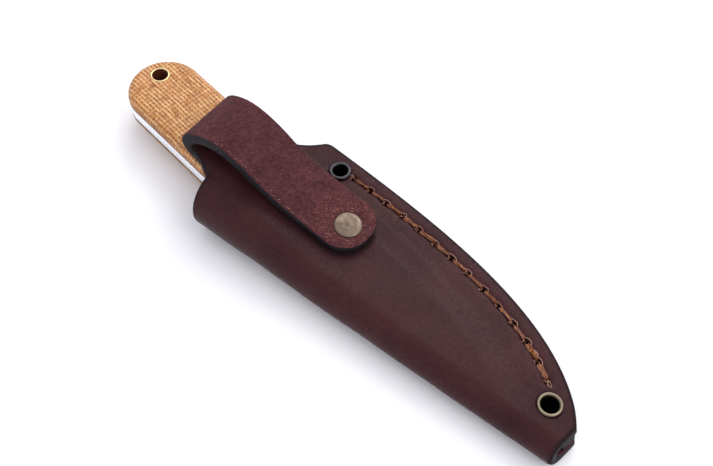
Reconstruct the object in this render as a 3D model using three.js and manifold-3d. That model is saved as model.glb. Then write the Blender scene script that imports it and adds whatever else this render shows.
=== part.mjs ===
// A small full-tang whittling knife, resting in its fold-over leather sheath.
// Working axes: X runs along the sheath's fold towards the tip, Y runs from the fold towards the
// stitched edge, and Z points up from the front panel, which lies on the table.
// The mouth of the sheath is at X = 0. The finished assembly is centred over its resting face.

import * as THREE from "three";
import { mergeVertices } from "three/addons/utils/BufferGeometryUtils.js";
import Module from "manifold-3d";

const wasm = await Module();
wasm.setup();

// ---------------------------------------------------------------- driving dimensions, mm
const LEATHER = 3.3; // one ply
const GAP = 0.3; // clearance between sheath pieces that touch
const THIN_GAP = 0.1; // clearance between the layers of the handle
const LAMINATED = 3 * LEATHER + 2 * GAP; // height of the stitched, three-ply edge

const SHEATH_END = 124.4; // cut end, beyond the point
const END_CUT = { far: 10.6, slant: 1.6 }; // where the cut starts, across, and how far it runs back
const FOLD_DROP = 0.8; // how far the fold lies below the crown at the mouth
const TONGUE_ROOT = -5; // where the flat of the tongue gives way to the strap

// Belt loop: the tongue's middle line from the side, back from the mouth, round a hairpin, and down
// to its rounded free end.
const STRAP_LINE = [
  [-4, 17.6],
  [-7.4, 17.75],
  [-9.8, 18.9],
  [-10.75, 21],
  [-9.7, 23.5],
  [-7.6, 25.45],
  [-4, 27],
  [0, 27.75],
  [5, 27.15],
  [10.7, 24.95],
  [15, 22.55],
  [20.5, 20.25],
  [25, 18.95],
  [30, 18.15],
  [34, 17.35],
  [38, 16.4],
  [43.2, 15.45],
  [50, 14.95],
];
const STRAP_THICK = [ // against the distance run along that line
  [3, 3.3],
  [11, 4.2],
  [36, 4.2],
  [46, 3.7],
  [54, 3.1],
  [62, 2.9],
];
const STRAP_SIDES = [ // far and near side, against the same distance
  [0, 31.6, 12.8],
  [14, 31.9, 12.8],
  [26, 31.3, 13],
  [40, 30.8, 13],
  [54, 30.3, 12.6],
];
const STRAP_CORNER = 8; // radius of the rounded free end

const RIVET = { x: 43.2, y: 20.8, cap: 8.25, post: 3 };
const EYELETS = [
  { name: "upper", x: 26.4, y: 38.6, outside: 7, bore: 4.5, colour: 0x2c2a2c },
  { name: "lower", x: 115.8, y: 11.1, outside: 7, bore: 5, colour: 0x8c7a4e },
];

const STITCH_COUNT = 13;
const STITCH_INSET = 4.9; // stitch line, in from the edge
const FIRST_HOLE = 13.4; // along the edge from the mouth corner
const LAST_HOLE = 101;
const THREAD_WIDTH = 1.2;
const THREAD_THICK = 0.6;
const STITCH_HOLE = 0.95; // radius
const THREAD_CORE = 0.5; // radius of the thread inside a hole
const STITCH_GROOVE = 1.6; // depth of the groove in the front panel

const TANG = 4;
const LINER = 0.4;
const HANDLE_HALF = 5.8; // half the thickness of the handle
const POMMEL = { x: -36.3, y: 28.6, radius: 12 };
const HANDLE_FRONT = 34; // where the handle ends and the blade starts
const HANDLE_FRONT_HALF = 3.3; // half thickness there
const HANDLE_TAPER_START = 4;
const BLADE_TIP = 107;
const BLADE_BACK = 6.3; // spine of the blade, across
const BLADE_EDGE = 26; // cutting edge, across
const LANYARD = { x: -40.9, y: 31, outside: 6.3, bore: 5 };
const PINS = [
  { name: "mid_pin", x: -5, y: 23.4 },
  { name: "front_pin", x: 24, y: 17.8 },
];
const PIN_RADIUS = 2;
const PIN_SUNK = 0.2; // how far a pin's ends lie below the scales

const KNIFE_HEIGHT = LEATHER + GAP + HANDLE_HALF; // middle of the tang above the table, at the mouth
const KNIFE_TILT = Math.atan((KNIFE_HEIGHT - LAMINATED / 2) / (BLADE_TIP - 3)); // nose down

// ---------------------------------------------------------------- materials
function finish(color, roughness, metalness) {
  return new THREE.MeshStandardMaterial({ color, roughness, metalness });
}

const grainLeather = finish(0x46292d, 0.5, 0);
const weltLeather = finish(0x2f2628, 0.6, 0);
const waxedThread = finish(0xa9652e, 0.7, 0);
const antiqueBrass = finish(0x8c7a5c, 0.45, 0.9);
const satinSteel = finish(0xc9cbd0, 0.3, 1);
const darkFibre = finish(0x2a2421, 0.7, 0);
const micarta = finish(0xc08549, 0.6, 0);
const brightBrass = finish(0xd9c07a, 0.3, 1);

// ---------------------------------------------------------------- solids
function toSolid(geometry) {
  const bare = geometry.clone();
  bare.deleteAttribute("normal");
  bare.deleteAttribute("uv");
  const merged = mergeVertices(bare, 1e-4);
  return new wasm.Manifold(
    new wasm.Mesh({
      numProp: 3,
      vertProperties: new Float32Array(merged.attributes.position.array),
      triVerts: new Uint32Array(merged.index.array),
    }),
  );
}

function toGeometry(solid) {
  const mesh = solid.getMesh();
  const geometry = new THREE.BufferGeometry();
  geometry.setAttribute("position", new THREE.BufferAttribute(new Float32Array(mesh.vertProperties), 3));
  geometry.setIndex(new THREE.BufferAttribute(new Uint32Array(mesh.triVerts), 1));
  geometry.computeVertexNormals();
  return geometry;
}

function namedMesh(name, solid, material) {
  const mesh = new THREE.Mesh(toGeometry(solid), material);
  mesh.name = name;
  return mesh;
}

// A plan outline raised from one height to another.
function prism(outline, low, high, curveSegments = 10) {
  const depth = high - low;
  const geometry = new THREE.ExtrudeGeometry(outline, { depth, bevelEnabled: false, curveSegments });
  geometry.translate(0, 0, low);
  return toSolid(geometry);
}

function disc(x, y, radius, low, high, sides = 20) {
  const circle = new THREE.Shape().absarc(0, 0, radius, 0, 2 * Math.PI);
  return prism(circle, low, high, sides).translate([x, y, 0]);
}

// A body turned about a vertical axis at (x, y), from a closed profile of [radius, height] points.
function turned(profile, x, y, sides = 20) {
  const points = profile.map(([radius, height]) => new THREE.Vector2(radius, height));
  points.push(points[0].clone());
  const geometry = new THREE.LatheGeometry(points, sides);
  geometry.rotateX(Math.PI / 2);
  geometry.translate(x, y, 0);
  return outward(geometry);
}

// Triangles over a flat outline, wound the way the outline runs.
function capTriangles(outline) {
  const triangles = THREE.ShapeUtils.triangulateShape(outline, []);
  const areas = triangles.map((corners) => THREE.ShapeUtils.area(corners.map((i) => outline[i])));
  const sameWay = areas.reduce((sum, area) => sum + area, 0) * THREE.ShapeUtils.area(outline) > 0;
  return triangles.map(([a, b, c]) => (sameWay ? [a, b, c] : [a, c, b]));
}

// A closed skin over a row of rings with equal point counts. The first and last rings are capped.
function loft(rings, capOutline) {
  const count = rings[0].length;
  const position = rings.flat().flatMap((p) => [p.x, p.y, p.z]);
  const index = [];
  for (let r = 0; r + 1 < rings.length; r++) {
    for (let i = 0; i < count; i++) {
      const a = r * count + i;
      const b = r * count + ((i + 1) % count);
      index.push(a, b, b + count, a, b + count, a + count);
    }
  }
  const last = (rings.length - 1) * count;
  for (const [a, b, c] of capTriangles(capOutline(rings[0]))) {
    index.push(a, c, b);
  }
  for (const [a, b, c] of capTriangles(capOutline(rings.at(-1)))) {
    index.push(last + a, last + b, last + c);
  }
  const geometry = new THREE.BufferGeometry();
  geometry.setAttribute("position", new THREE.Float32BufferAttribute(position, 3));
  geometry.setIndex(index);
  return outward(geometry);
}

// Turns a closed skin the right way out if its faces point in.
function outward(geometry) {
  const flat = geometry.index ? geometry.toNonIndexed() : geometry;
  const p = flat.attributes.position;
  const [a, b, c] = [new THREE.Vector3(), new THREE.Vector3(), new THREE.Vector3()];
  let volume = 0;
  for (let i = 0; i < p.count; i += 3) {
    a.fromBufferAttribute(p, i);
    b.fromBufferAttribute(p, i + 1);
    c.fromBufferAttribute(p, i + 2);
    volume += a.dot(b.cross(c));
  }
  if (volume < 0) {
    const index = geometry.index.array;
    for (let i = 0; i < index.length; i += 3) {
      [index[i], index[i + 1]] = [index[i + 1], index[i]];
    }
  }
  return toSolid(geometry);
}

const fromX = (ring) => ring.map((p) => new THREE.Vector2(p.y, p.z));
const mix = THREE.MathUtils.lerp;
const ease = (value, start, end) => THREE.MathUtils.smoothstep(value, start, end);

// Height or place read off a chain of [x, value] stations, straight between them.
function along(stations, x) {
  const next = stations.findIndex(([station]) => station >= x);
  if (next < 0) {
    return stations.at(-1)[1];
  }
  if (next === 0) {
    return stations[0][1];
  }
  const [x0, v0] = stations[next - 1];
  const [x1, v1] = stations[next];
  return mix(v0, v1, (x - x0) / (x1 - x0));
}

// ---------------------------------------------------------------- sheath outline, seen from above
const edgeCurve = new THREE.CubicBezierCurve(
  new THREE.Vector2(18.4, 45.5),
  new THREE.Vector2(61.2, 41),
  new THREE.Vector2(107.2, 35.6),
  new THREE.Vector2(SHEATH_END, END_CUT.far),
);
const EDGE_LENGTH = edgeCurve.getLength();

// A point at a distance along the stitched edge from the mouth corner, set in from it.
function insideEdge(distance, inset) {
  const at = distance / EDGE_LENGTH;
  const point = edgeCurve.getPointAt(at);
  const run = edgeCurve.getTangentAt(at);
  return point.add(new THREE.Vector2(run.y, -run.x).multiplyScalar(inset));
}

// The mouth edge sweeps from the rounded mouth corner down to the fold. The back panel alone carries on
// past the mouth as the root of the tongue.
const TONGUE_SIDES = [35.2, 8.8]; // where the tongue leaves the mouth edge, across
const MOUTH_CUT = 1; // how far the mouth edge has run back at the fold

function bodyOutline(withTongue) {
  const endCut = new THREE.Vector2(SHEATH_END - END_CUT.slant, -1);
  const outline = new THREE.Shape([endCut, ...edgeCurve.getPoints(26).reverse()]);
  const [far, near] = TONGUE_SIDES;
  outline.quadraticCurveTo(16.2, 45.7, 15.1, 44.2);
  outline.bezierCurveTo(12, 40.3, 7, 38, 0, far);
  if (withTongue) {
    const [, strapFar, strapNear] = STRAP_SIDES[0];
    const turn = TONGUE_ROOT + 3;
    outline.bezierCurveTo(-2, far - 1, turn, strapFar, TONGUE_ROOT, strapFar);
    outline.lineTo(TONGUE_ROOT, strapNear);
    outline.bezierCurveTo(turn, strapNear - 0.6, -2, near + 0.5, 0, near);
  }
  outline.lineTo(MOUTH_CUT, -1);
  return outline;
}

// ---------------------------------------------------------------- knife outline, seen from above
const pommelTurn = Math.atan2(POMMEL.y - 22.4, -POMMEL.x); // slope of the handle's centre line
const bellyCurve = new THREE.CubicBezierCurve(
  new THREE.Vector2(
    POMMEL.x + POMMEL.radius * Math.sin(pommelTurn),
    POMMEL.y + POMMEL.radius * Math.cos(pommelTurn),
  ),
  new THREE.Vector2(-12, 36.6),
  new THREE.Vector2(8, 34.2),
  new THREE.Vector2(HANDLE_FRONT, 28),
);
const backCurve = new THREE.CubicBezierCurve(
  new THREE.Vector2(HANDLE_FRONT, BLADE_BACK + 0.1),
  new THREE.Vector2(18, 7.2),
  new THREE.Vector2(-4, 11.4),
  new THREE.Vector2(
    POMMEL.x - POMMEL.radius * Math.sin(pommelTurn),
    POMMEL.y - POMMEL.radius * Math.cos(pommelTurn),
  ),
);

function handleOutline() {
  const arc = new THREE.EllipseCurve(
    POMMEL.x,
    POMMEL.y,
    POMMEL.radius,
    POMMEL.radius,
    1.5 * Math.PI - pommelTurn,
    0.5 * Math.PI - pommelTurn,
    true,
  );
  const points = [
    ...backCurve.getPoints(14),
    ...arc.getPoints(16).slice(1, -1),
    ...bellyCurve.getPoints(14),
  ];
  return new THREE.Shape(points);
}

// ---------------------------------------------------------------- sheath body
// Outside height over the pocket: full over the handle, falling to the blade.
const CROWN = [
  [-14, 19.6],
  [0, 19.05],
  [4, 18.95],
  [34, 15.5],
  [40, 13.9],
  [48, 13.3],
  [80, 11.9],
  [104, 10.8],
  [116, LAMINATED],
];
// Where the raised pocket has sunk to the flat margin, across the sheath.
const POCKET_FOOT = [
  [-8, 50],
  [0, 42],
  [8, 40],
  [26, 35.3],
  [34, 35.6],
  [60, 30.5],
  [80, 25.5],
  [95, 20],
  [108, 12],
  [126, 7],
];
const SHOULDER_WIDTH = 5; // from the top of the fold up to the crown
const SLOPE_WIDTH = 7; // of the flank between the crown and the margin
const BEYOND = 60; // past the widest point, where the outline cuts it

const foldRadius = (x) => 0.5 * (along(CROWN, x) - FOLD_DROP * (1 - ease(x, -8, 24)));

// Outside height of the back panel.
function panelTop(x, y) {
  const fold = 2 * foldRadius(x);
  const crown = along(CROWN, x);
  const foot = along(POCKET_FOOT, x);
  const rising = mix(fold, crown, ease(y, fold / 2, fold / 2 + SHOULDER_WIDTH));
  return mix(rising, LAMINATED, ease(y, foot - SLOPE_WIDTH, foot));
}

// One C-shaped section of the folded leather: out along the outside, back along the inside.
function leatherSection(x) {
  const radius = foldRadius(x);
  const foot = Math.max(along(POCKET_FOOT, x), radius + 2);
  const crest = Math.max(foot - SLOPE_WIDTH, radius + 1);
  const shoulder = [0.07, 0.14, 0.22, 1].map((t) => mix(radius, crest, t));
  const flank = [0.25, 0.5, 0.75, 1].map((t) => mix(crest, foot, t));
  const rows = [...shoulder, ...flank];
  const fold = (r, steps) =>
    Array.from({ length: steps + 1 }, (_, i) => {
      const angle = -Math.PI / 2 - (Math.PI * i) / steps;
      return new THREE.Vector3(x, radius + r * Math.cos(angle), radius + r * Math.sin(angle));
    });
  const top = (inset) => rows.map((y) => new THREE.Vector3(x, y, panelTop(x, y) - inset));
  const edge = (height) => new THREE.Vector3(x, BEYOND, height);
  const outside = [edge(0), ...fold(radius, 12), ...top(0), edge(LAMINATED)];
  const inside = [edge(LEATHER), ...fold(radius - LEATHER, 10), ...top(LEATHER), edge(LAMINATED - LEATHER)];
  return [...outside, ...inside.reverse()];
}

function foldedLeather() {
  const stations = [-9, -4, 0, 4, 10, 16, 22, 28, 34, 40, 48, 58, 68, 80, 92, 104, 116, 126];
  const skin = loft(stations.map(leatherSection), fromX);
  const split = 12; // below the tongue, above the front panel
  const both = prism(bodyOutline(false), -1, split);
  const backOnly = prism(bodyOutline(true), split, 40);
  return skin.intersect(both.add(backOnly));
}

// ---------------------------------------------------------------- belt loop
const strapLine = new THREE.SplineCurve(STRAP_LINE.map(([x, z]) => new THREE.Vector2(x, z)));
const farSide = STRAP_SIDES.map(([run, far]) => [run, far]);
const nearSide = STRAP_SIDES.map(([run, , near]) => [run, near]);
const STRAP_STEPS = 48;

// How far the rounded free end has drawn the sides in, at a distance past the start of its corners.
function drawnIn(past) {
  const reach = THREE.MathUtils.clamp(past, 0, STRAP_CORNER);
  return STRAP_CORNER - Math.sqrt(STRAP_CORNER ** 2 - reach ** 2);
}

function beltLoop() {
  const length = strapLine.getLength();
  const rings = Array.from({ length: STRAP_STEPS + 1 }, (_, i) => {
    const at = Math.sin((i / STRAP_STEPS) * (Math.PI / 2)); // closer together round the free end
    const run = at * length;
    const point = strapLine.getPointAt(at);
    const slope = strapLine.getTangentAt(at);
    const lift = new THREE.Vector2(-slope.y, slope.x).multiplyScalar(along(STRAP_THICK, run) / 2);
    const inset = drawnIn(run - (length - STRAP_CORNER));
    const far = along(farSide, run) - inset;
    const near = along(nearSide, run) + inset;
    const corners = [
      [near, 1],
      [far, 1],
      [far, -1],
      [near, -1],
    ];
    return corners.map(
      ([y, side]) => new THREE.Vector3(point.x + side * lift.x, y, point.y + side * lift.y),
    );
  });
  return loft(rings, fromX);
}

// ---------------------------------------------------------------- stitching
const holePlaces = Array.from({ length: STITCH_COUNT + 1 }, (_, i) =>
  insideEdge(mix(FIRST_HOLE, LAST_HOLE, i / STITCH_COUNT), STITCH_INSET),
);

// A strip of the given width that follows the line of holes.
function strip(width, low, high) {
  const side = (inset) =>
    holePlaces.map((_, i) => insideEdge(mix(FIRST_HOLE, LAST_HOLE, i / STITCH_COUNT), inset));
  const outline = [...side(STITCH_INSET - width / 2), ...side(STITCH_INSET + width / 2).reverse()];
  return prism(new THREE.Shape(outline), low, high);
}

function stitching() {
  const top = LAMINATED + GAP;
  const bottom = STITCH_GROOVE - GAP;
  const core = (p) => disc(p.x, p.y, THREAD_CORE, bottom - THREAD_THICK / 2, top + THREAD_THICK / 2, 3);
  return wasm.Manifold.union([
    strip(THREAD_WIDTH, top, top + THREAD_THICK),
    strip(THREAD_WIDTH, bottom - THREAD_THICK, bottom),
    ...holePlaces.map(core),
  ]);
}

const stitchHoles = () => holePlaces.map((p) => disc(p.x, p.y, STITCH_HOLE, -1, LAMINATED + 1, 4));
const stitchGroove = () => strip(THREAD_WIDTH + 2 * GAP, -1, STITCH_GROOVE);

// ---------------------------------------------------------------- eyelets and rivet
const EYELET_WALL = 0.4;
const FLANGE = 0.9; // height of the rolled flange
const CLINCH = { reach: 0.8, low: 0.1, high: 0.4 }; // the lip turned out over the washer
const WASHER = 0.6;
const WASHER_REACH = 0.4; // past the flange's outside
const WASHER_RECESS = CLINCH.high + WASHER + 2 * GAP - CLINCH.low;

const barrelRadius = ({ bore }) => bore / 2 + EYELET_WALL;

// A rolled flange on the back panel, a barrel through the plies, and a clinched lip on the front.
function eyelet(spec) {
  const inner = spec.bore / 2;
  const barrel = barrelRadius(spec);
  const outer = spec.outside / 2;
  const top = LAMINATED + GAP;
  const profile = [
    [inner, CLINCH.low],
    [barrel + CLINCH.reach, CLINCH.low],
    [barrel + CLINCH.reach, CLINCH.high],
    [barrel, CLINCH.high],
    [barrel, top],
    [outer, top],
    [outer, top + 0.35 * FLANGE],
    [outer - 0.25 * (outer - inner), top + FLANGE],
    [inner + 0.35 * (outer - inner), top + FLANGE],
    [inner, top + 0.4 * FLANGE],
  ];
  return turned(profile, spec.x, spec.y);
}

const washerRadius = ({ outside }) => outside / 2 + WASHER_REACH;

function washer(spec) {
  const hole = barrelRadius(spec) + 0.2;
  const outer = washerRadius(spec);
  const low = CLINCH.high + GAP;
  const profile = [
    [hole, low],
    [outer, low],
    [outer, low + 0.6 * WASHER],
    [outer - 0.3, low + WASHER],
    [hole, low + WASHER],
  ];
  return turned(profile, spec.x, spec.y);
}

function eyeletHole(spec) {
  const bore = disc(spec.x, spec.y, barrelRadius(spec) + GAP, -1, LAMINATED + 1);
  return bore.add(disc(spec.x, spec.y, washerRadius(spec) + GAP, -1, WASHER_RECESS));
}

// The rivet stands square to the strap, which slopes down towards the point.
const [beforeRivet, atRivet, afterRivet] = STRAP_LINE.slice(-3);
const strapAtRivet = atRivet[1] + STRAP_THICK.at(-1)[1] / 2;
const panelUnder = panelTop(RIVET.x, RIVET.y) - LEATHER + THIN_GAP;
const rivetSlope = Math.atan2(beforeRivet[1] - afterRivet[1], afterRivet[0] - beforeRivet[0]);
const rivetTilt = THREE.MathUtils.radToDeg(rivetSlope);
const CAP_RIM = 0.35; // height of the cap's rim
const CAP_HEIGHT = 0.7;
const CAP_BEVEL = 0.6;

const leaning = (solid) =>
  solid
    .translate([-RIVET.x, -RIVET.y, -strapAtRivet])
    .rotate([0, rivetTilt, 0])
    .translate([RIVET.x, RIVET.y, strapAtRivet]);

// The flat cap with its bevelled rim, and the post that goes through the strap and the back panel.
function rivetCap() {
  const cap = RIVET.cap / 2;
  const post = RIVET.post / 2;
  const seat = strapAtRivet + GAP;
  const foot = panelUnder + 0.4;
  const profile = [
    [0, foot],
    [post, foot],
    [post, seat],
    [cap, seat],
    [cap, seat + CAP_RIM],
    [cap - CAP_BEVEL, seat + CAP_HEIGHT],
    [0, seat + CAP_HEIGHT],
  ];
  return leaning(turned(profile, RIVET.x, RIVET.y));
}

// The cap on the flesh side, let into the leather so that it stays clear of the blade.
const BACK_CAP = { radius: 3.2, thick: 0.6 };
const FERRULE = { radius: RIVET.post / 2 + 0.6, high: 1.4 };

function rivetBack() {
  const post = RIVET.post / 2 + 0.2;
  const low = panelUnder + THIN_GAP;
  const profile = [
    [post, low],
    [BACK_CAP.radius, low],
    [BACK_CAP.radius, low + BACK_CAP.thick],
    [FERRULE.radius, low + BACK_CAP.thick],
    [FERRULE.radius, low + FERRULE.high],
    [post, low + FERRULE.high],
  ];
  return leaning(turned(profile, RIVET.x, RIVET.y));
}

function rivetHole() {
  const below = panelUnder - 2;
  const post = disc(RIVET.x, RIVET.y, RIVET.post / 2 + 0.4, below, strapAtRivet + 2);
  const above = panelUnder + THIN_GAP + GAP;
  const seat = disc(RIVET.x, RIVET.y, BACK_CAP.radius + GAP, below, above + BACK_CAP.thick);
  const ferrule = disc(RIVET.x, RIVET.y, FERRULE.radius + GAP, below, above + FERRULE.high);
  return leaning(wasm.Manifold.union([post, seat, ferrule]));
}

// ---------------------------------------------------------------- sheath
function leather() {
  const cuts = [...stitchHoles(), stitchGroove(), ...EYELETS.map(eyeletHole), rivetHole()];
  return foldedLeather().add(beltLoop()).subtract(wasm.Manifold.union(cuts));
}

// The filler strip between the two panels, along the stitched edge and round the point. Beyond the
// point it fills the fold with a rounded edge.
const POINT_FILL = 109.5; // start of the filled stretch
const FILL_RADIUS = LEATHER / 2;

function welt() {
  const fillEdge = LAMINATED / 2;
  const inner = new THREE.CubicBezierCurve(
    new THREE.Vector2(-1, 37),
    new THREE.Vector2(52, 27.4),
    new THREE.Vector2(100, 32),
    new THREE.Vector2(POINT_FILL, fillEdge),
  );
  const plan = new THREE.Shape(inner.getPoints(20));
  plan.lineTo(SHEATH_END + 5, fillEdge);
  plan.lineTo(SHEATH_END + 5, BEYOND);
  plan.lineTo(-1, BEYOND);
  const height = LEATHER + GAP;
  const rod = new THREE.CylinderGeometry(FILL_RADIUS, FILL_RADIUS, SHEATH_END + 5 - POINT_FILL, 16);
  rod.rotateZ(Math.PI / 2);
  rod.translate((SHEATH_END + 5 + POINT_FILL) / 2, fillEdge, height + LEATHER / 2);
  const blank = prism(plan, height, height + LEATHER).add(toSolid(rod));
  const trimmed = blank.intersect(prism(bodyOutline(false), -1, 40));
  return trimmed.subtract(wasm.Manifold.union([...stitchHoles(), ...EYELETS.map(eyeletHole)]));
}

// ---------------------------------------------------------------- knife
function handleBores(extra) {
  const lanyard = disc(LANYARD.x, LANYARD.y, LANYARD.outside / 2 + extra, -20, 20);
  const pins = PINS.map((pin) => disc(pin.x, pin.y, PIN_RADIUS + extra, -20, 20, 14));
  return wasm.Manifold.union([lanyard, ...pins]);
}

const BLADE_TIP_HALF = 1.2; // half thickness at the point
const BLADE_TIP_RISE = 3.4; // how far the spine drops in to meet the edge
const BEVEL = 6.5; // widest the bevel gets
const EDGE_HALF = 0.12; // half thickness of the cutting edge
const RICASSO = 4; // unground length in front of the handle

// Blade sections: parallel flats from the spine to the bevel line, then a wedge down to the edge.
function bladeSection(x) {
  const start = HANDLE_FRONT + RICASSO;
  const reach = THREE.MathUtils.clamp((x - start) / (BLADE_TIP - start), 0, 1);
  const back = BLADE_BACK + BLADE_TIP_RISE * ease(reach, 0.72, 1) ** 1.5;
  const tipHeight = back + 0.6;
  const belly = BLADE_EDGE - (BLADE_EDGE - tipHeight) * reach ** 3.4;
  const half = mix(TANG / 2, BLADE_TIP_HALF, reach);
  const wedge = Math.min(BEVEL, 0.75 * (belly - back));
  const edgeHalf = x < start ? half : EDGE_HALF;
  return [
    new THREE.Vector3(x, back, -half),
    new THREE.Vector3(x, belly - wedge, -half),
    new THREE.Vector3(x, belly, -edgeHalf),
    new THREE.Vector3(x, belly, edgeHalf),
    new THREE.Vector3(x, belly - wedge, half),
    new THREE.Vector3(x, back, half),
  ];
}

function blade() {
  const steps = 18;
  const ground = HANDLE_FRONT + RICASSO + 1; // where the bevel is full
  const stations = [HANDLE_FRONT - 1, HANDLE_FRONT + RICASSO - 0.1, ground];
  for (let i = 1; i <= steps; i++) {
    stations.push(mix(ground, BLADE_TIP, Math.sin((i / steps) * (Math.PI / 2))));
  }
  const body = loft(stations.map(bladeSection), fromX);
  const tang = prism(handleOutline(), -TANG / 2, TANG / 2);
  return body.add(tang).subtract(handleBores(THIN_GAP));
}

function liner(side) {
  const low = TANG / 2 + THIN_GAP;
  const sheet = prism(handleOutline(), low, low + LINER).subtract(handleBores(THIN_GAP));
  return side > 0 ? sheet : sheet.mirror([0, 0, 1]);
}

// A rounded slab, thinned towards the front where the forefinger rests.
function scale(side) {
  const low = TANG / 2 + LINER + 2 * THIN_GAP;
  const round = 3; // of the outer edges
  const drop = 2.9;
  const geometry = new THREE.ExtrudeGeometry(handleOutline(), {
    depth: HANDLE_HALF - drop,
    bevelThickness: drop,
    bevelSize: round,
    bevelOffset: -round,
    bevelSegments: 4,
  });
  const sideView = new THREE.Shape([
    new THREE.Vector2(-60, low),
    new THREE.Vector2(HANDLE_FRONT + 2, low),
    new THREE.Vector2(HANDLE_FRONT + 2, HANDLE_FRONT_HALF),
    new THREE.Vector2(HANDLE_FRONT, HANDLE_FRONT_HALF),
    new THREE.Vector2(HANDLE_TAPER_START, HANDLE_HALF + 0.01),
    new THREE.Vector2(-60, HANDLE_HALF + 0.01),
  ]);
  const keep = new THREE.ExtrudeGeometry(sideView, { depth: 80, bevelEnabled: false });
  keep.rotateX(Math.PI / 2);
  keep.translate(0, 70, 0);
  const slab = toSolid(geometry).intersect(toSolid(keep)).subtract(handleBores(THIN_GAP));
  return side > 0 ? slab : slab.mirror([0, 0, 1]);
}

function lanyardTube() {
  const inner = LANYARD.bore / 2;
  const outer = LANYARD.outside / 2;
  const end = HANDLE_HALF;
  const profile = [
    [inner + 0.25, -end],
    [outer, -end],
    [outer, end],
    [inner + 0.25, end],
    [inner, end - 0.4],
    [inner, 0.4 - end],
  ];
  return turned(profile, LANYARD.x, LANYARD.y, 28);
}

function handlePin(pin) {
  const taper = [
    [HANDLE_TAPER_START, HANDLE_HALF],
    [HANDLE_FRONT, HANDLE_FRONT_HALF],
  ];
  const half = along(taper, pin.x) - PIN_SUNK;
  return disc(pin.x, pin.y, PIN_RADIUS, -half, half, 14);
}

// ---------------------------------------------------------------- assembly
const sheath = new THREE.Group();
sheath.add(namedMesh("sheath_leather", leather(), grainLeather));
sheath.add(namedMesh("welt", welt(), weltLeather));
sheath.add(namedMesh("stitching", stitching(), waxedThread));
sheath.add(namedMesh("rivet_cap", rivetCap(), antiqueBrass));
sheath.add(namedMesh("rivet_back", rivetBack(), antiqueBrass));
for (const spec of EYELETS) {
  const metal = finish(spec.colour, 0.4, 0.9);
  sheath.add(namedMesh(`${spec.name}_eyelet`, eyelet(spec), metal));
  sheath.add(namedMesh(`${spec.name}_eyelet_washer`, washer(spec), metal));
}

const knife = new THREE.Group();
knife.add(namedMesh("blade", blade(), satinSteel));
for (const [name, side] of [["upper", 1], ["lower", -1]]) {
  knife.add(namedMesh(`${name}_liner`, liner(side), darkFibre));
  knife.add(namedMesh(`${name}_scale`, scale(side), micarta));
}
knife.add(namedMesh("lanyard_tube", lanyardTube(), brightBrass));
for (const pin of PINS) {
  knife.add(namedMesh(pin.name, handlePin(pin), brightBrass));
}
knife.position.z = KNIFE_HEIGHT;
knife.rotation.y = KNIFE_TILT;

const assembly = new THREE.Group();
assembly.add(sheath, knife);
assembly.updateMatrixWorld(true);
const box = new THREE.Box3().setFromObject(assembly, true);
const middle = box.getCenter(new THREE.Vector3());
assembly.position.set(-middle.x, -middle.y, -box.min.z);
assembly.updateMatrixWorld(true);

export default assembly;
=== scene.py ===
"""A small full-tang whittling knife, put away in its fold-over leather belt sheath.

Lengths in the shape functions are millimetres in the sheath's own axes: X runs along the fold from
the mouth, Y from the fold to the stitched edge, and Z up from the front panel, which lies on the
floor. place() turns them into the frame's metres.
"""

import math
import random

import bmesh
import bpy
import numpy as np
from mathutils import Matrix, Vector
from mathutils import noise as smooth_noise
from mathutils.kdtree import KDTree


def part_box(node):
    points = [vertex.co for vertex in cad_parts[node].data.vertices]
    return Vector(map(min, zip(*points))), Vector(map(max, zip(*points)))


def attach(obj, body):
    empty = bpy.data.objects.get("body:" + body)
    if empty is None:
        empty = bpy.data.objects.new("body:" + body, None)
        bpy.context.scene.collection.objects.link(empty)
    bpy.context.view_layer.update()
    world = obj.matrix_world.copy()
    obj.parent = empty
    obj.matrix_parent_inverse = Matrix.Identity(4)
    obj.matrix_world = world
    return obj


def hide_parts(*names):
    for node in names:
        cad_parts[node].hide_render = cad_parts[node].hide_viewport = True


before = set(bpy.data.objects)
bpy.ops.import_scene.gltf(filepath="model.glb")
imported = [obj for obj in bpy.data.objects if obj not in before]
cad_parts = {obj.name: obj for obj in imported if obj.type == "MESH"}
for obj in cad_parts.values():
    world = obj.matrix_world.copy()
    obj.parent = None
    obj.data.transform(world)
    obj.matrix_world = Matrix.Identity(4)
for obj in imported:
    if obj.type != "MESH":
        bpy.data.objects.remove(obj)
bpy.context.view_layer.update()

# ---- sizes that the frame gives
MM = 0.001
SHEATH_END = 124.4  # cut end, from the mouth
leather_low, leather_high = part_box("sheath_leather")
ORIGIN = np.array((leather_high.x - SHEATH_END * MM, leather_low.y, 0.0))


def in_sheath_axes(node):
    """Lowest and highest corner of a node, in millimetres in the sheath's axes."""
    return [(np.array(corner) - ORIGIN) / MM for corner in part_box(node)]


def centre_of(node):
    low, high = in_sheath_axes(node)
    return (low + high) / 2


def place(points):
    return np.asarray(points, float) * MM + ORIGIN


LEATHER = 3.3  # one ply
LAMINATED = 10.5  # the stitched edge, three plies
FOLD_DROP = 0.8
MOUTH_CUT = 1.0  # how far the mouth edge has run back at the fold
FRONT_MOUTH = 0.72  # share of that on the front panel
TONGUE_SIDE = 35.2  # where the tongue leaves the mouth edge
END_CUT_FAR, END_CUT_SLANT = 10.6, 1.6  # where the cut starts, across, and how far it runs back
EYELETS = {name: centre_of(f"{name}_eyelet") for name in ("upper", "lower")}
EYELET_BORE = {"upper": 4.5, "lower": 5.0}
EYELET_OUTSIDE = 7.0
RIVET_X, RIVET_Y = 43.2, 20.8
RIVET_RADIUS = 4.12
RIVET_TILT = math.atan2(16.4 - 14.95, 12)  # it stands square to the strap
STRAP_AT_RIVET = 16.9  # height of the strap's upper side there

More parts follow.
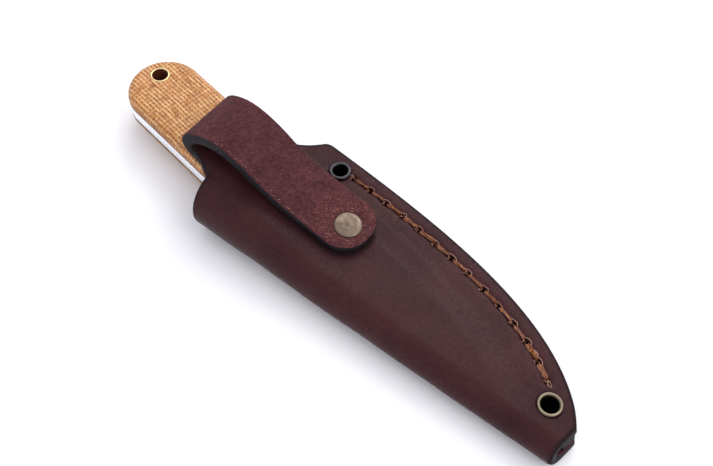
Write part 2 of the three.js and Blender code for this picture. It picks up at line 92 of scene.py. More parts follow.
# Outside height over the pocket, and where it has sunk to the flat margin, as [x, value] stations.
CROWN = [(-14, 19.6), (0, 19.05), (4, 18.95), (34, 15.5), (40, 13.9), (48, 13.3), (80, 11.9),
         (104, 10.8), (116, LAMINATED), (140, LAMINATED)]
POCKET_FOOT = [(-8, 50), (0, 42), (8, 40), (26, 35.3), (34, 35), (60, 30.5), (80, 25.5), (95, 20),
               (108, 12), (126, 7)]
SHOULDER_WIDTH = 5.0
SLOPE_WIDTH = 9.0


# ---- curves
def smoothstep(value, start, end):
    t = np.clip((np.asarray(value, float) - start) / (end - start), 0, 1)
    return t * t * (3 - 2 * t)


def mix(a, b, t):
    return a + (b - a) * t


def softened(stations, reach=3.0):
    """The chain of stations as a function of x, with its corners rounded over about that reach."""
    xs = np.arange(-20, 145, 0.5)
    straight = np.interp(xs, *zip(*stations))
    taps = np.exp(-0.5 * (np.arange(-18, 19) * 0.5 / reach) ** 2)
    smooth = np.convolve(np.pad(straight, 18, mode="edge"), taps / taps.sum(), mode="valid")
    return lambda x: np.interp(x, xs, smooth)


def bezier(points, t):
    """A Bezier curve of any degree, at an array of t."""
    rows = np.asarray(points, float)[:, None, :] * np.ones((1, len(t), 1))
    t = np.asarray(t, float)[:, None]
    while len(rows) > 1:
        rows = rows[:-1] * (1 - t) + rows[1:] * t
    return rows[0]


def catmull(points, steps):
    """A smooth curve through all the points."""
    p = np.asarray(points, float)
    p = np.vstack([2 * p[0] - p[1], p, 2 * p[-1] - p[-2]])
    out = []
    for i in range(1, len(p) - 2):
        for t in np.arange(steps) / steps:
            a, b, c, d = p[i - 1:i + 3]
            out.append(0.5 * (2 * b + (c - a) * t + (2 * a - 5 * b + 4 * c - d) * t ** 2
                              + (3 * b - a - 3 * c + d) * t ** 3))
    return np.vstack(out + [p[-2]])


def run_lengths(points):
    return np.concatenate([[0], np.cumsum(np.linalg.norm(np.diff(points, axis=0), axis=1))])


def walk(points, distances):
    """Points at the given distances along a polyline."""
    lengths = run_lengths(points)
    return np.stack([np.interp(distances, lengths, column) for column in points.T], -1)


crown = softened(CROWN)
pocket_foot = softened(POCKET_FOOT)


def fold_radius(x):
    return 0.5 * (crown(x) - FOLD_DROP * (1 - smoothstep(x, -8, 24)))


def panel_top(x, y):
    """Outside height of the back panel."""
    fold, foot = 2 * fold_radius(x), pocket_foot(x)
    rising = mix(fold, crown(x), smoothstep(y, fold / 2, fold / 2 + SHOULDER_WIDTH))
    return mix(rising, LAMINATED, smoothstep(y, foot - SLOPE_WIDTH, foot))


# The outline from above: stitched edge, rounded corner, and mouth edge down to the tongue.
EDGE = [(18.4, 45.5), (61.2, 41), (107.2, 35.6), (SHEATH_END, END_CUT_FAR)]
CORNER = [EDGE[0], (16.2, 45.7), (15.1, 44.2)]
MOUTH = [CORNER[2], (12, 40.3), (7, 38), (0, TONGUE_SIDE)]
stitched_edge = bezier(EDGE, np.linspace(0, 1, 400))
outline_top = np.vstack([bezier(CORNER, np.linspace(0.5, 0, 12))[:-1], stitched_edge])
mouth_edge = np.vstack([bezier(CORNER, np.linspace(0.5, 1, 12))[:-1],
                        bezier(MOUTH, np.linspace(0, 1, 60))])


def end_cut(y):
    """How far along the square-cut end is, at y."""
    return SHEATH_END - END_CUT_SLANT * (END_CUT_FAR - y) / (END_CUT_FAR + 1)


def inside_edge(distance, inset):
    """A point set in from the stitched edge at a distance along it, and the direction there."""
    ahead, here, behind = (walk(stitched_edge, [distance + step])[0] for step in (0.2, 0, -0.2))
    run = (ahead - behind) / np.linalg.norm(ahead - behind)
    return here + np.array((run[1], -run[0])) * inset, run


STITCH_COUNT = 13
STITCH_INSET = 4.9
FIRST_HOLE, LAST_HOLE = 13.4, 101.0
holes = [inside_edge(mix(FIRST_HOLE, LAST_HOLE, i / STITCH_COUNT), STITCH_INSET)
         for i in range(STITCH_COUNT + 1)]


# ---- meshes
def closed_mesh(name, points, faces):
    """A mesh in the frame's metres, with its faces turned to look outwards."""
    mesh = bpy.data.meshes.new(name)
    mesh.from_pydata([tuple(p) for p in place(points)], [], [tuple(map(int, f)) for f in faces])
    work = bmesh.new()
    work.from_mesh(mesh)
    bmesh.ops.recalc_face_normals(work, faces=work.faces)
    work.to_mesh(mesh)
    work.free()
    return mesh


def add_object(name, data):
    made = bpy.data.objects.new(name, data)
    bpy.context.scene.collection.objects.link(made)
    return made


def mesh_piece(name, points, faces, materials, body, stands_for=(), slots=None):
    """A smooth piece that rides on a body and stands for CAD nodes. slots: each face's material."""
    mesh = closed_mesh(name, points, faces)
    for material in materials:
        mesh.materials.append(material)
    if slots is not None:
        mesh.polygons.foreach_set("material_index", np.asarray(slots, np.int32))
    mesh.polygons.foreach_set("use_smooth", [True] * len(mesh.polygons))
    mesh.update()
    piece = add_object(name, mesh)
    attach(piece, body)
    if stands_for:
        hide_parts(*stands_for)
    return piece


def set_values(mesh, name, values):
    """A number for each vertex, which the materials read by name."""
    layer = mesh.attributes.get(name) or mesh.attributes.new(name, "FLOAT", "POINT")
    layer.data.foreach_set("value", np.asarray(values, np.float32))


def sharpen(piece, degrees=35):
    """Keeps the edges that turn more than this sharp, and the rest smooth."""
    piece.data.set_sharp_from_angle(angle=math.radians(degrees))


def grid_faces(index, closed=False):
    """Quads over a 2-D array of vertex numbers, closing round its second axis if told to."""
    if closed:
        index = np.hstack([index, index[:, :1]])
    a, b, c, d = index[:-1, :-1], index[:-1, 1:], index[1:, 1:], index[1:, :-1]
    return np.stack([a, b, c, d], -1).reshape(-1, 4)


def capped(rings):
    """A closed body through rings of equally many points: points and faces."""
    rings = np.asarray(rings, float)
    index = np.arange(rings[..., 0].size).reshape(rings.shape[:2])
    faces = [tuple(f) for f in grid_faces(index, closed=True)]
    return rings.reshape(-1, 3), faces + [tuple(index[0][::-1]), tuple(index[-1])]


def turned(profile, sides=72):
    """A body turned about Z from a closed [radius, height] profile: points and faces."""
    profile = np.asarray(profile, float)
    angles = np.linspace(0, 2 * math.pi, sides, endpoint=False)
    points = [(r * math.cos(a), r * math.sin(a), z) for a in angles for r, z in profile]
    index = np.arange(len(points)).reshape(sides, len(profile))
    index = np.vstack([index, index[:1]])
    return np.array(points), grid_faces(index, closed=True)


def rounded(profile, radius, steps=4):
    """A closed profile with each corner that has a radius cut back to an arc-like curve."""
    out = []
    radii = radius if hasattr(radius, "__len__") else [radius] * len(profile)
    p = np.asarray(profile, float)
    for i, r in enumerate(radii):
        before, here, after = p[i - 1], p[i], p[(i + 1) % len(p)]
        if r == 0:
            out.append(here)
            continue
        start = here + (before - here) * min(0.5, r / np.linalg.norm(before - here))
        end = here + (after - here) * min(0.5, r / np.linalg.norm(after - here))
        out.extend(bezier([start, here, end], np.linspace(0, 1, steps + 1)))
    return np.array(out)


def offset_ring(ring, inset):
    """A closed plan outline moved in by an inset, which may differ from point to point."""
    run = np.roll(ring, -1, 0) - np.roll(ring, 1, 0)
    run /= np.linalg.norm(run, axis=1, keepdims=True)
    area = np.sum(ring[:, 0] * np.roll(ring[:, 1], -1) - np.roll(ring[:, 0], -1) * ring[:, 1])
    inward = np.stack([-run[:, 1], run[:, 0]], -1) * np.sign(area)
    return ring + inward * np.asarray(inset).reshape(-1, 1)


def plate(ring, low, high, rim, steps=4):
    """A flat sheet over a plan outline, with rounded rims: points and faces."""
    rim = np.broadcast_to(np.asarray(rim, float), (len(ring),))
    layers = []
    for side, height in ((-1, low), (1, high)):
        for arc in np.linspace(0, math.pi / 2, steps + 1)[::side]:
            plan = offset_ring(ring, rim * (1 - math.cos(arc)))
            z = height - side * rim * (1 - math.sin(arc))
            layers.append(np.column_stack([plan, z]))
    return capped(layers)


def cut_with(piece, points, faces):
    """Takes the closed shape out of the piece's mesh."""
    cutter = add_object("cutter", closed_mesh("cutter", points, faces))
    cut = piece.modifiers.new("cut", "BOOLEAN")
    cut.operation, cut.solver, cut.object = "DIFFERENCE", "EXACT", cutter
    bake_modifiers(piece)
    bpy.data.objects.remove(cutter)


def bake_modifiers(piece):
    bpy.context.view_layer.update()
    graph = bpy.context.evaluated_depsgraph_get()
    made = bpy.data.meshes.new_from_object(piece.evaluated_get(graph))
    piece.modifiers.clear()
    piece.data = made


def rod(radius, low, high, x, y, sides=48):
    """A closed upright cylinder, as points and faces."""
    angles = np.linspace(0, 2 * math.pi, sides, endpoint=False)
    ring = np.stack([x + radius * np.cos(angles), y + radius * np.sin(angles)], -1)
    return capped([np.column_stack([ring, np.full(sides, z)]) for z in (low, high)])


def tube(path, widths, thicknesses, across, sides=10, lobes=0, twist=0.0):
    """A flattened cord along a path: points and faces. across is the direction of its width."""
    path = np.asarray(path, float)
    run = np.gradient(path, axis=0)
    run /= np.linalg.norm(run, axis=1, keepdims=True)
    wide = np.asarray(across, float) - run * (run @ np.asarray(across, float))[:, None]
    wide /= np.linalg.norm(wide, axis=1, keepdims=True)
    up = np.cross(run, wide)
    angles = np.linspace(0, 2 * math.pi, sides, endpoint=False)
    rings = []
    for i in range(len(path)):
        swell = 1 + (0.1 * np.cos(lobes * angles + twist * i) if lobes else 0)
        flat = np.cos(angles) * widths[i] / 2 * swell
        tall = np.sin(angles) * thicknesses[i] / 2 * swell
        rings.append(path[i] + flat[:, None] * wide[i] + tall[:, None] * up[i])
    return capped(rings)


def join(parts):
    """Several (points, faces) as one."""
    points, faces, count = [], [], 0
    for part_points, part_faces in parts:
        points.append(part_points)
        faces += [tuple(int(v) + count for v in f) for f in part_faces]
        count += len(part_points)
    return np.vstack(points), faces


# ---- materials
class Surface:
    """A procedural material, written one node at a time. Methods return output sockets."""

    def __init__(self, name, **settings):
        self.material = bpy.data.materials.new(name)
        self.material.use_nodes = True
        self.tree = self.material.node_tree
        self.shader = self.tree.nodes["Principled BSDF"]
        for socket, value in settings.items():
            self.shader.inputs[socket.replace("_", " ")].default_value = value
        self.where = self.node("ShaderNodeTexCoord").outputs["Object"]

    def node(self, kind, inputs=None, **settings):
        made = self.tree.nodes.new(kind)
        for key, value in settings.items():
            setattr(made, key, value)
        for key, value in (inputs or {}).items():
            self.give(made.inputs[key], value)
        return made

    def give(self, socket, value):
        if isinstance(value, bpy.types.NodeSocket):
            self.tree.links.new(value, socket)
        else:
            socket.default_value = value

    def scaled(self, x, y=None, z=None, turn=0.0):
        """Coordinates in millimetres times x, y and z, turned about Z first."""
        scale = [1000 * x, 1000 * (x if y is None else y), 1000 * (x if z is None else z)]
        turned_first = self.node("ShaderNodeMapping",
                                 {"Vector": self.where, "Rotation": (0, 0, turn)})
        made = self.node("ShaderNodeVectorMath", {0: turned_first.outputs[0], 1: scale},
                         operation="MULTIPLY")
        return made.outputs[0]

    def noise(self, vector, detail=3.0, roughness=0.55, distortion=0.0):
        return self.node("ShaderNodeTexNoise", {
            "Vector": vector, "Scale": 1.0, "Detail": detail, "Roughness": roughness,
            "Distortion": distortion}).outputs["Fac"]

    def cells(self, vector, feature="F1"):
        return self.node("ShaderNodeTexVoronoi", {"Vector": vector, "Scale": 1.0},
                         feature=feature).outputs["Distance"]

    def sum(self, operation, a, b=0.0, c=0.0):
        return self.node("ShaderNodeMath", {0: a, 1: b, 2: c}, operation=operation).outputs[0]

    def fit(self, value, low, high, to_low=0.0, to_high=1.0):
        """A value's range from low to high stretched onto another, with soft ends."""
        return self.node("ShaderNodeMapRange", {
            "Value": value, "From Min": low, "From Max": high, "To Min": to_low,
            "To Max": to_high}, interpolation_type="SMOOTHSTEP").outputs["Result"]

    def blend(self, share, a, b, mode="MIX"):
        made = self.node("ShaderNodeMix", data_type="RGBA", blend_type=mode)
        for number, value in ((0, share), (6, a), (7, b)):
            is_colour = isinstance(value, tuple) and len(value) == 3
            self.give(made.inputs[number], (*value, 1) if is_colour else value)
        return made.outputs[2]

    def tint(self, base, where, strength, colour):
        """The base taken towards a colour, as far as the value where goes times the strength."""
        return self.blend(self.sum("MULTIPLY", where, strength), base, colour)

    def ramp(self, value, *stops):
        made = self.node("ShaderNodeValToRGB", {0: value})
        elements = made.color_ramp.elements
        while len(elements) < len(stops):
            elements.new(0.5)
        for element, (position, colour) in zip(elements, stops):
            element.position = position
            element.color = (*colour, 1)
        return made.outputs["Color"]

    def value(self, name):
        return self.node("ShaderNodeAttribute", attribute_name=name).outputs["Fac"]

    def finish(self, colour, roughness, *bumps):
        """The material, with bumps of (height, depth in mm, strength), one on the other."""
        self.give(self.shader.inputs["Base Color"], colour)
        self.give(self.shader.inputs["Roughness"], roughness)
        normal = None
        for height, depth, strength in bumps:
            inputs = {"Height": height, "Distance": depth * MM, "Strength": strength}
            if normal is not None:
                inputs["Normal"] = normal
            normal = self.node("ShaderNodeBump", inputs).outputs[0]
        if normal is not None:
            self.give(self.shader.inputs["Normal"], normal)
        return self.material


def grain_leather():
    """Dark burgundy-brown oiled leather, with fine pores, faint creases, darker cut margins and
    painted shade in the awl holes.
    """
    s = Surface("oiled_leather_grain", Specular_IOR_Level=0.11)
    clouds = s.noise(s.scaled(0.05), 3, 0.5)
    fine = s.noise(s.scaled(1.1), 4, 0.6)
    pores = s.cells(s.scaled(1.9))
    creases = s.cells(s.scaled(0.75, 0.75), "DISTANCE_TO_EDGE")
    scuffs = s.fit(s.noise(s.scaled(0.9, 0.12, 0.5, turn=0.5), 5, 0.65), 0.66, 0.8)
    rim, pit = s.value("rim"), s.value("pit")
    base = s.ramp(clouds, (0.3, (0.032, 0.0085, 0.0105)), (0.7, (0.052, 0.0150, 0.0165)))
    darker = s.blend(1.0, base, (0.72, 0.70, 0.74), "MULTIPLY")
    base = s.blend(s.fit(fine, 0.35, 0.75), base, darker)
    base = s.tint(base, scuffs, 0.35, (0.13, 0.065, 0.062))
    base = s.tint(base, rim, 0.95, (0.007, 0.005, 0.006))
    # painted shade: the awl holes painted near black, for the shade inside them
    base = s.blend(pit, base, (0.004, 0.002, 0.002))
    dulled = s.sum("MULTIPLY_ADD", rim, 0.4, s.sum("MULTIPLY", scuffs, 0.12))
    roughness = s.sum("ADD", s.fit(fine, 0.3, 0.8, 0.33, 0.47), dulled)
    return s.finish(base, roughness, (creases, 0.05, 0.35), (pores, 0.045, 0.45), (fine, 0.05, 0.4))


def flesh_leather():
    """The suede side of the leather: a mottled reddish-brown nap with pale lint."""
    s = Surface("leather_flesh_nap", Specular_IOR_Level=0.06, Sheen_Weight=0.05,
                Sheen_Roughness=0.5, Sheen_Tint=(0.75, 0.42, 0.42, 1))
    clouds = s.noise(s.scaled(0.22), 5, 0.65)
    nap = s.noise(s.scaled(1.5, 0.8, 1.5, turn=0.6), 5, 0.72, 0.6)
    speckle = s.noise(s.scaled(3.4), 3, 0.7)
    lint = s.fit(s.noise(s.scaled(2.4, 0.9, 2.4, turn=-0.5), 4, 0.7), 0.62, 0.74)
    rim, rubbed = s.value("rim"), s.value("rubbed")
    streaks = s.noise(s.scaled(0.9, 3.2, 2.0, turn=-0.35), 5, 0.75, 0.5)
    base = s.ramp(clouds, (0.3, (0.068, 0.0225, 0.025)), (0.7, (0.108, 0.037, 0.041)))
    darker = s.blend(1.0, base, (0.52, 0.48, 0.50), "MULTIPLY")
    base = s.blend(s.fit(nap, 0.36, 0.62), darker, base)
    base = s.blend(s.fit(speckle, 0.55, 0.75, 0, 0.5), base, (0.16, 0.065, 0.068))
    base = s.tint(base, lint, 0.35, (0.26, 0.12, 0.12))
    base = s.tint(base, s.fit(streaks, 0.52, 0.66), rubbed, (0.27, 0.095, 0.082))
    base = s.tint(base, s.fit(streaks, 0.46, 0.36), rubbed, (0.045, 0.013, 0.014))
    base = s.tint(base, rim, 0.85, (0.012, 0.007, 0.009))
    return s.finish(base, s.fit(nap, 0.3, 0.7, 0.66, 0.88),
                    (clouds, 0.15, 0.4), (nap, 0.3, 0.8), (speckle, 0.12, 0.7))


def burnished_edge():
    """Cut leather edge, stained charcoal and rubbed smooth, with streaks along it."""
    s = Surface("leather_burnished_edge", Specular_IOR_Level=0.05)
    along = s.noise(s.scaled(0.5, 0.5, 4.5), 4, 0.6)
    specks = s.noise(s.scaled(1.7), 4, 0.65)
    base = s.ramp(along, (0.3, (0.007, 0.0065, 0.008)), (0.7, (0.026, 0.023, 0.027)))
    base = s.blend(s.fit(specks, 0.58, 0.76, 0, 0.5), base, (0.060, 0.053, 0.060))
    return s.finish(base, s.fit(specks, 0.3, 0.75, 0.42, 0.68),
                    (along, 0.12, 0.5), (specks, 0.09, 0.5))


def waxed_thread():
    """Flat waxed polyester thread: orange-brown, with lengthwise filaments and pale worn tops."""
    s = Surface("waxed_thread_twist", Specular_IOR_Level=0.2)
    filaments = s.noise(s.scaled(1.6, 7.0, 3.0, turn=0.35), 4, 0.65)
    blotches = s.noise(s.scaled(0.9), 3, 0.6)
    worn = s.value("worn")
    base = s.ramp(filaments, (0.40, (0.028, 0.007, 0.002)), (0.52, (0.17, 0.044, 0.007)),
                  (0.66, (0.52, 0.19, 0.050)))
    base = s.blend(s.fit(blotches, 0.44, 0.62, 0, 0.85), base, (0.10, 0.026, 0.006))
    base = s.tint(base, worn, 0.8, (0.50, 0.30, 0.23))
    return s.finish(base, s.fit(blotches, 0.3, 0.7, 0.5, 0.72),
                    (filaments, 0.16, 0.8), (blotches, 0.08, 0.4))


def aged_brass(name, dark, light, glint, roughness=(0.3, 0.5)):
    """Antiqued brass: patina in clouds, fine scratches, and brighter rubbed edges."""
    s = Surface(name, Metallic=1.0)
    patina = s.noise(s.scaled(0.55), 5, 0.65)
    scratches = s.fit(s.noise(s.scaled(0.7, 9.0, 2.0, turn=0.9), 4, 0.6), 0.45, 0.75)
    specks = s.fit(s.noise(s.scaled(3.2), 3, 0.6), 0.6, 0.72)
    worn = s.value("worn")
    base = s.ramp(patina, (0.32, dark), (0.68, light))
    base = s.tint(base, scratches, 0.35, glint)
    base = s.tint(base, specks, 0.4, dark)
    base = s.tint(base, worn, 0.75, glint)
    return s.finish(base, s.fit(patina, 0.3, 0.7, roughness[1], roughness[0]),
                    (scratches, 0.012, 0.35), (specks, 0.02, 0.3))


def bright_brass():
    s = Surface("polished_brass", Metallic=1.0)
    lines = s.noise(s.scaled(3.0, 3.0, 0.4), 3, 0.6)
    tarnish = s.noise(s.scaled(0.4), 4, 0.6)
    base = s.ramp(tarnish, (0.3, (0.72, 0.50, 0.22)), (0.7, (0.92, 0.74, 0.42)))
    base = s.blend(s.fit(lines, 0.5, 0.8, 0, 0.3), base, (0.98, 0.88, 0.66))
    return s.finish(base, s.fit(lines, 0.3, 0.7, 0.2, 0.36), (lines, 0.01, 0.3))


def bore_painted_shade():
    """The inside of the lanyard tube, painted dark brown: painted shade inside the bore, in clouds
    of tone.
    """
    s = Surface("lanyard_bore_painted_shade", Metallic=0.3)
    tone_clouds = s.noise(s.scaled(0.9, 0.9, 0.4), 4, 0.65)
    base = s.ramp(tone_clouds, (0.3, (0.070, 0.016, 0.005)), (0.7, (0.16, 0.042, 0.012)))
    return s.finish(base, s.fit(tone_clouds, 0.3, 0.7, 0.75, 0.5), (tone_clouds, 0.03, 0.4))


def ground_steel(name, metallic, dark, light):
    """Belt-ground steel: fine lines across the blade and a few deeper scratches."""
    s = Surface(name, Metallic=metallic)
    lines = s.noise(s.scaled(9.0, 0.25, 0.3, turn=0.12), 5, 0.7)
    deep = s.fit(s.noise(s.scaled(3.5, 0.12, 0.2, turn=0.16), 3, 0.6), 0.62, 0.72)
    smudges = s.noise(s.scaled(0.08), 4, 0.6)
    base = s.ramp(lines, (0.3, dark), (0.7, light))
    scratch = tuple(0.55 * part for part in dark)
    base = s.tint(base, deep, 0.5, scratch)
    roughness = s.sum("ADD", s.fit(lines, 0.3, 0.7, 0.2, 0.34), s.fit(smudges, 0.4, 0.7, 0, 0.08))
    return s.finish(base, roughness, (lines, 0.012, 0.5), (deep, 0.015, 0.4))


def fibre_liner():
    s = Surface("vulcanised_fibre")
    grain = s.noise(s.scaled(2.5, 2.5, 6.0), 4, 0.6)
    base = s.ramp(grain, (0.3, (0.012, 0.009, 0.008)), (0.7, (0.035, 0.026, 0.022)))
    return s.finish(base, s.fit(grain, 0.3, 0.7, 0.5, 0.7), (grain, 0.03, 0.4))


WEAVE_ALONG, WEAVE_ACROSS = 1.45, 1.2  # thread pitch in the cloth, mm
LAYER = 0.55  # cloth layers through the thickness


def woven_micarta():
    """Resin-bonded jute cloth: crossing threads on the flats, layer lines on the rounded edges."""
    s = Surface("jute_micarta", Specular_IOR_Level=0.4)
    wander = s.node("ShaderNodeTexNoise", {"Vector": s.scaled(0.12), "Scale": 1.0, "Detail": 4.0})
    moved = s.node("ShaderNodeVectorMath", {0: wander.outputs["Color"], 1: (1.3, 1.1, 0.0)},
                   operation="MULTIPLY").outputs[0]
    millimetres = s.scaled(1.0, turn=HANDLE_TURN)
    cloth = s.node("ShaderNodeVectorMath", {0: millimetres, 1: moved}, operation="ADD").outputs[0]
    split = s.node("ShaderNodeSeparateXYZ", {0: cloth}).outputs
    along = s.sum("DIVIDE", split["X"], WEAVE_ALONG)
    across = s.sum("DIVIDE", split["Y"], WEAVE_ACROSS)
    layers = s.sum("DIVIDE", split["Z"], LAYER)

    def ridge(value, sharpness):
        """A line down the middle of each thread, narrower the sharper it is."""
        across_thread = s.sum("MULTIPLY", s.sum("FRACT", value), math.pi)
        return s.sum("POWER", s.sum("SINE", across_thread), sharpness)

    def thread_tone(value, length, seed):
        """Its own shade for each thread, which changes along it."""
        number = s.sum("MULTIPLY_ADD", s.sum("FLOOR", value), 3.7, seed)
        stretch = s.sum("MULTIPLY", length, 0.55)
        key = s.node("ShaderNodeCombineXYZ", {0: number, 1: stretch, 2: layers})
        return s.fit(s.noise(key.outputs[0], 3, 0.7), 0.36, 0.62)

    warp_line = s.sum("MULTIPLY", ridge(across, 5.0), thread_tone(across, along, 0.3))
    weft_line = s.sum("MULTIPLY", ridge(along, 7.0), thread_tone(along, across, 9.1))
    height = s.sum("MAXIMUM", ridge(across, 1.0), ridge(along, 1.0))
    fibres = s.noise(s.scaled(0.9, 5.0, 3.0, turn=HANDLE_TURN), 5, 0.7)
    tone_clouds = s.noise(s.scaled(0.35, 0.5, 0.5, turn=HANDLE_TURN), 4, 0.6)
    base = s.ramp(tone_clouds, (0.34, (0.25, 0.082, 0.016)), (0.5, (0.41, 0.158, 0.036)),
                  (0.68, (0.52, 0.23, 0.064)))
    base = s.blend(s.fit(height, 0.1, 0.75, 0.8, 0.0), base, (0.17, 0.052, 0.010))
    base = s.blend(s.fit(fibres, 0.34, 0.56, 0.5, 0), base, (0.22, 0.072, 0.014))
    base = s.tint(base, weft_line, 0.5, (0.66, 0.39, 0.17))
    base = s.tint(base, warp_line, 0.8, (0.82, 0.53, 0.26))
    return s.finish(base, s.fit(height, 0.2, 0.9, 0.62, 0.44),
                    (height, 0.07, 0.5), (fibres, 0.03, 0.35))


def floor_white():
    s = Surface("paper_white_floor")
    tone = s.noise(s.scaled(0.01), 2, 0.5)
    return s.finish(s.ramp(tone, (0.3, (0.86, 0.86, 0.87)), (0.7, (0.88, 0.88, 0.885))), 0.75)


# ---- sheath leather
NEAR_EDGE = np.array((0, 0.07, 0.22, 0.5, 0.9, 1.4, 2.0))  # columns that round a cut edge
PANEL_COLUMNS = 52
TONGUE_COLUMNS = 32  # of those, the ones that carry on into the tongue
ROW_STEP = 0.8
FOLD_COLUMNS = 24
RIM = 0.85  # radius of the rounded edges on the grain side
FLESH_RIM = 0.3  # and on the flesh side, which is cut crisper


def spread(total, count, both_ends):
    """Places from 0 to total, close together near a cut edge."""
    ends = NEAR_EDGE[:-1]
    if both_ends:
        middle = np.linspace(NEAR_EDGE[-1], total - NEAR_EDGE[-1], count - 2 * len(ends))
        return np.concatenate([ends, middle, total - ends[::-1]])
    return np.concatenate([ends, np.linspace(NEAR_EDGE[-1], total, count - len(ends))])


def panel_plan(s, tongue):
    """One panel's grid from above: rows from mouth to end, columns from edge to fold."""
    samples = np.linspace(0, 1, 160)
    root = fold_radius(0.0)
    near = 0.0 if tongue else MOUTH_CUT * FRONT_MOUTH
    side = np.array([(mix(0.0, near, t), mix(TONGUE_SIDE, root, t)) for t in np.linspace(0, 1, 30)])
    mouth = np.vstack([mouth_edge[:-1], side])
    mouth_run = run_lengths(mouth)
    fold_x = mix(near, end_cut(fold_radius(SHEATH_END)), s)
    fold_line = np.stack([fold_x, fold_radius(fold_x)], -1)
    top = walk(outline_top, s * run_lengths(outline_top)[-1])
    straight = mix(top[:, None, :], fold_line[:, None, :], samples[None, :, None])
    curved = walk(mouth, samples * mouth_run[-1]) - straight[0]
    rows = straight + (1 - smoothstep(s, 0, 0.3))[:, None, None] * curved[None]
    corner_run = run_lengths(mouth_edge)[-1]
    free = spread(corner_run, PANEL_COLUMNS - TONGUE_COLUMNS + 1, False)
    shared = np.linspace(corner_run, mouth_run[-1], TONGUE_COLUMNS)
    at_mouth = np.concatenate([free, shared[1:]])
    plan = []
    for row, share in zip(rows, smoothstep(s, 0, 0.1)):
        length = run_lengths(row)[-1]
        squeeze = min(1.0, 0.5 * length / NEAR_EDGE[-1])
        even = spread(length / squeeze, PANEL_COLUMNS, False) * squeeze
        plan.append(walk(row, mix(at_mouth * length / mouth_run[-1], even, share)))
    return np.array(plan)


def sheath_grid():
    """Outside and inside places of the folded leather, rows from mouth to end, and columns from the
    back panel's edge round the fold to the front panel's edge."""
    s = spread(SHEATH_END, int(SHEATH_END / ROW_STEP) + 10, True) / SHEATH_END
    back, front = panel_plan(s, True), panel_plan(s, False)[:, ::-1]
    top = panel_top(back[..., 0], back[..., 1])
    radius = back[:, -1, 1]
    angle = np.linspace(0, math.pi, FOLD_COLUMNS + 2)[1:-1]
    first = mix(0, MOUTH_CUT, np.sin(np.minimum(angle, math.pi / 2)))
    first = np.where(angle > math.pi / 2, mix(FRONT_MOUTH, 1, np.sin(angle)) * MOUTH_CUT, first)

    def fold(shrink):
        y = radius[:, None] - (radius[:, None] - shrink) * np.sin(angle)
        z = radius[:, None] + (radius[:, None] - shrink) * np.cos(angle)
        outer_y = radius[:, None] * (1 - np.sin(angle))
        x = mix(first[None], end_cut(outer_y), s[:, None])
        return np.stack([x, y, z], -1)

    def panels(inset):
        above = np.concatenate([back, (top - inset)[..., None]], -1)
        below = np.concatenate([front, np.full((*front.shape[:2], 1), float(inset))], -1)
        return np.concatenate([above, fold(inset), below], 1)

    return panels(0.0), panels(LEATHER)


def inner_ply(x):
    return crown(x) - LEATHER / 2


# The tongue's middle line from the side, as [x, z]: round the hairpin and down to its free end.
STRAP_LINE = [(-4, 17.6), (-7.4, 17.75), (-9.8, 18.9), (-10.75, 21), (-9.7, 23.5), (-7.6, 25.45),
              (-4, 27), (0, 27.75), (5, 27.15), (10.7, 24.95), (15, 22.55), (20.5, 20.25),
              (25, 18.95), (30, 18.15), (34, 17.35), (38, 16.4), (RIVET_X, 15.45), (50, 14.95)]
# Its thickness, its far side and its near side, against the distance from the mouth.
STRAP_THICK = [(4, LEATHER), (14, 4.2), (40, 4.2), (50, 3.7), (58, 3.1), (66, 2.9)]
STRAP_FAR = [(0, 35.2), (2.5, 33.6), (5, 32.2), (8, 31.7), (18, 31.9), (30, 31.3), (44, 30.8),
             (58, 30.3)]
STRAP_NEAR = [(0, 9.1), (2.5, 10.3), (5, 11.9), (8, 12.7), (18, 12.8), (30, 13), (44, 13),
              (58, 12.6)]
STRAP_CORNER = 8.0  # radius of the rounded free end
STRAP_CROWN = 0.45  # how much higher the strap's middle is than its sides


def strap_path():
    return catmull([(0, float(inner_ply(0.0)))] + STRAP_LINE, 16)


def tongue_grid(mouth_row):
    """Grain-side and flesh-side places of the tongue, rows from the mouth to the free end."""
    path = strap_path()
    lengths = run_lengths(path)
    total = lengths[-1]
    rows = total - spread(total, int(total / 0.65), False)[::-1]
    rows = rows[rows > 0.35]
    even = np.linspace(0, 1, TONGUE_COLUMNS)
    slope = np.gradient(path, lengths, axis=0)
    grain, flesh = [], []
    for row in rows:
        far, near = (float(np.interp(row, *zip(*side))) for side in (STRAP_FAR, STRAP_NEAR))
        middle, half = (far + near) / 2, (far - near) / 2
        close = spread(2 * half, TONGUE_COLUMNS, True) / (2 * half)
        y = mix(far, near, mix(even, close, smoothstep(row, 0, 6)))
        over = np.maximum(np.abs(y - middle) - (half - STRAP_CORNER), 0)
        back = STRAP_CORNER - np.sqrt(np.maximum(STRAP_CORNER ** 2 - over ** 2, 0))
        at = row - smoothstep(row, total - 16, total) * back
        point = walk(path, at)
        run = np.stack([np.interp(at, lengths, slope[:, k]) for k in (0, 1)], -1)
        run /= np.linalg.norm(run, axis=1, keepdims=True)
        lift = np.stack([-run[:, 1], run[:, 0]], -1)
        thick = np.interp(at, *zip(*STRAP_THICK))
        free = smoothstep(row, 14, 30) * (1 - 0.6 * smoothstep(row, total - 22, total - 8))
        arch = STRAP_CROWN * free * (1 - ((y - middle) / half) ** 2)
        settle = (mouth_row - crown(0.0)) * (1 - smoothstep(row, 0, 7))
        pressed = np.hypot(point[:, 0] - RIVET_X, y - RIVET_Y) / (RIVET_RADIUS + 1.2)
        dimple = 0.3 * np.exp(-pressed ** 4) * (row > total / 2)
        for skin, side_way in ((grain, -1), (flesh, 1)):
            # The tongue starts with its grain up, so its lift points down there.
            offset = lift * (side_way * thick / 2 + arch)[:, None]
            z = point[:, 1] + offset[:, 1] + settle - dimple
            skin.append(np.stack([point[:, 0] + offset[:, 0], y, z], -1))
    return np.array(grain), np.array(flesh)


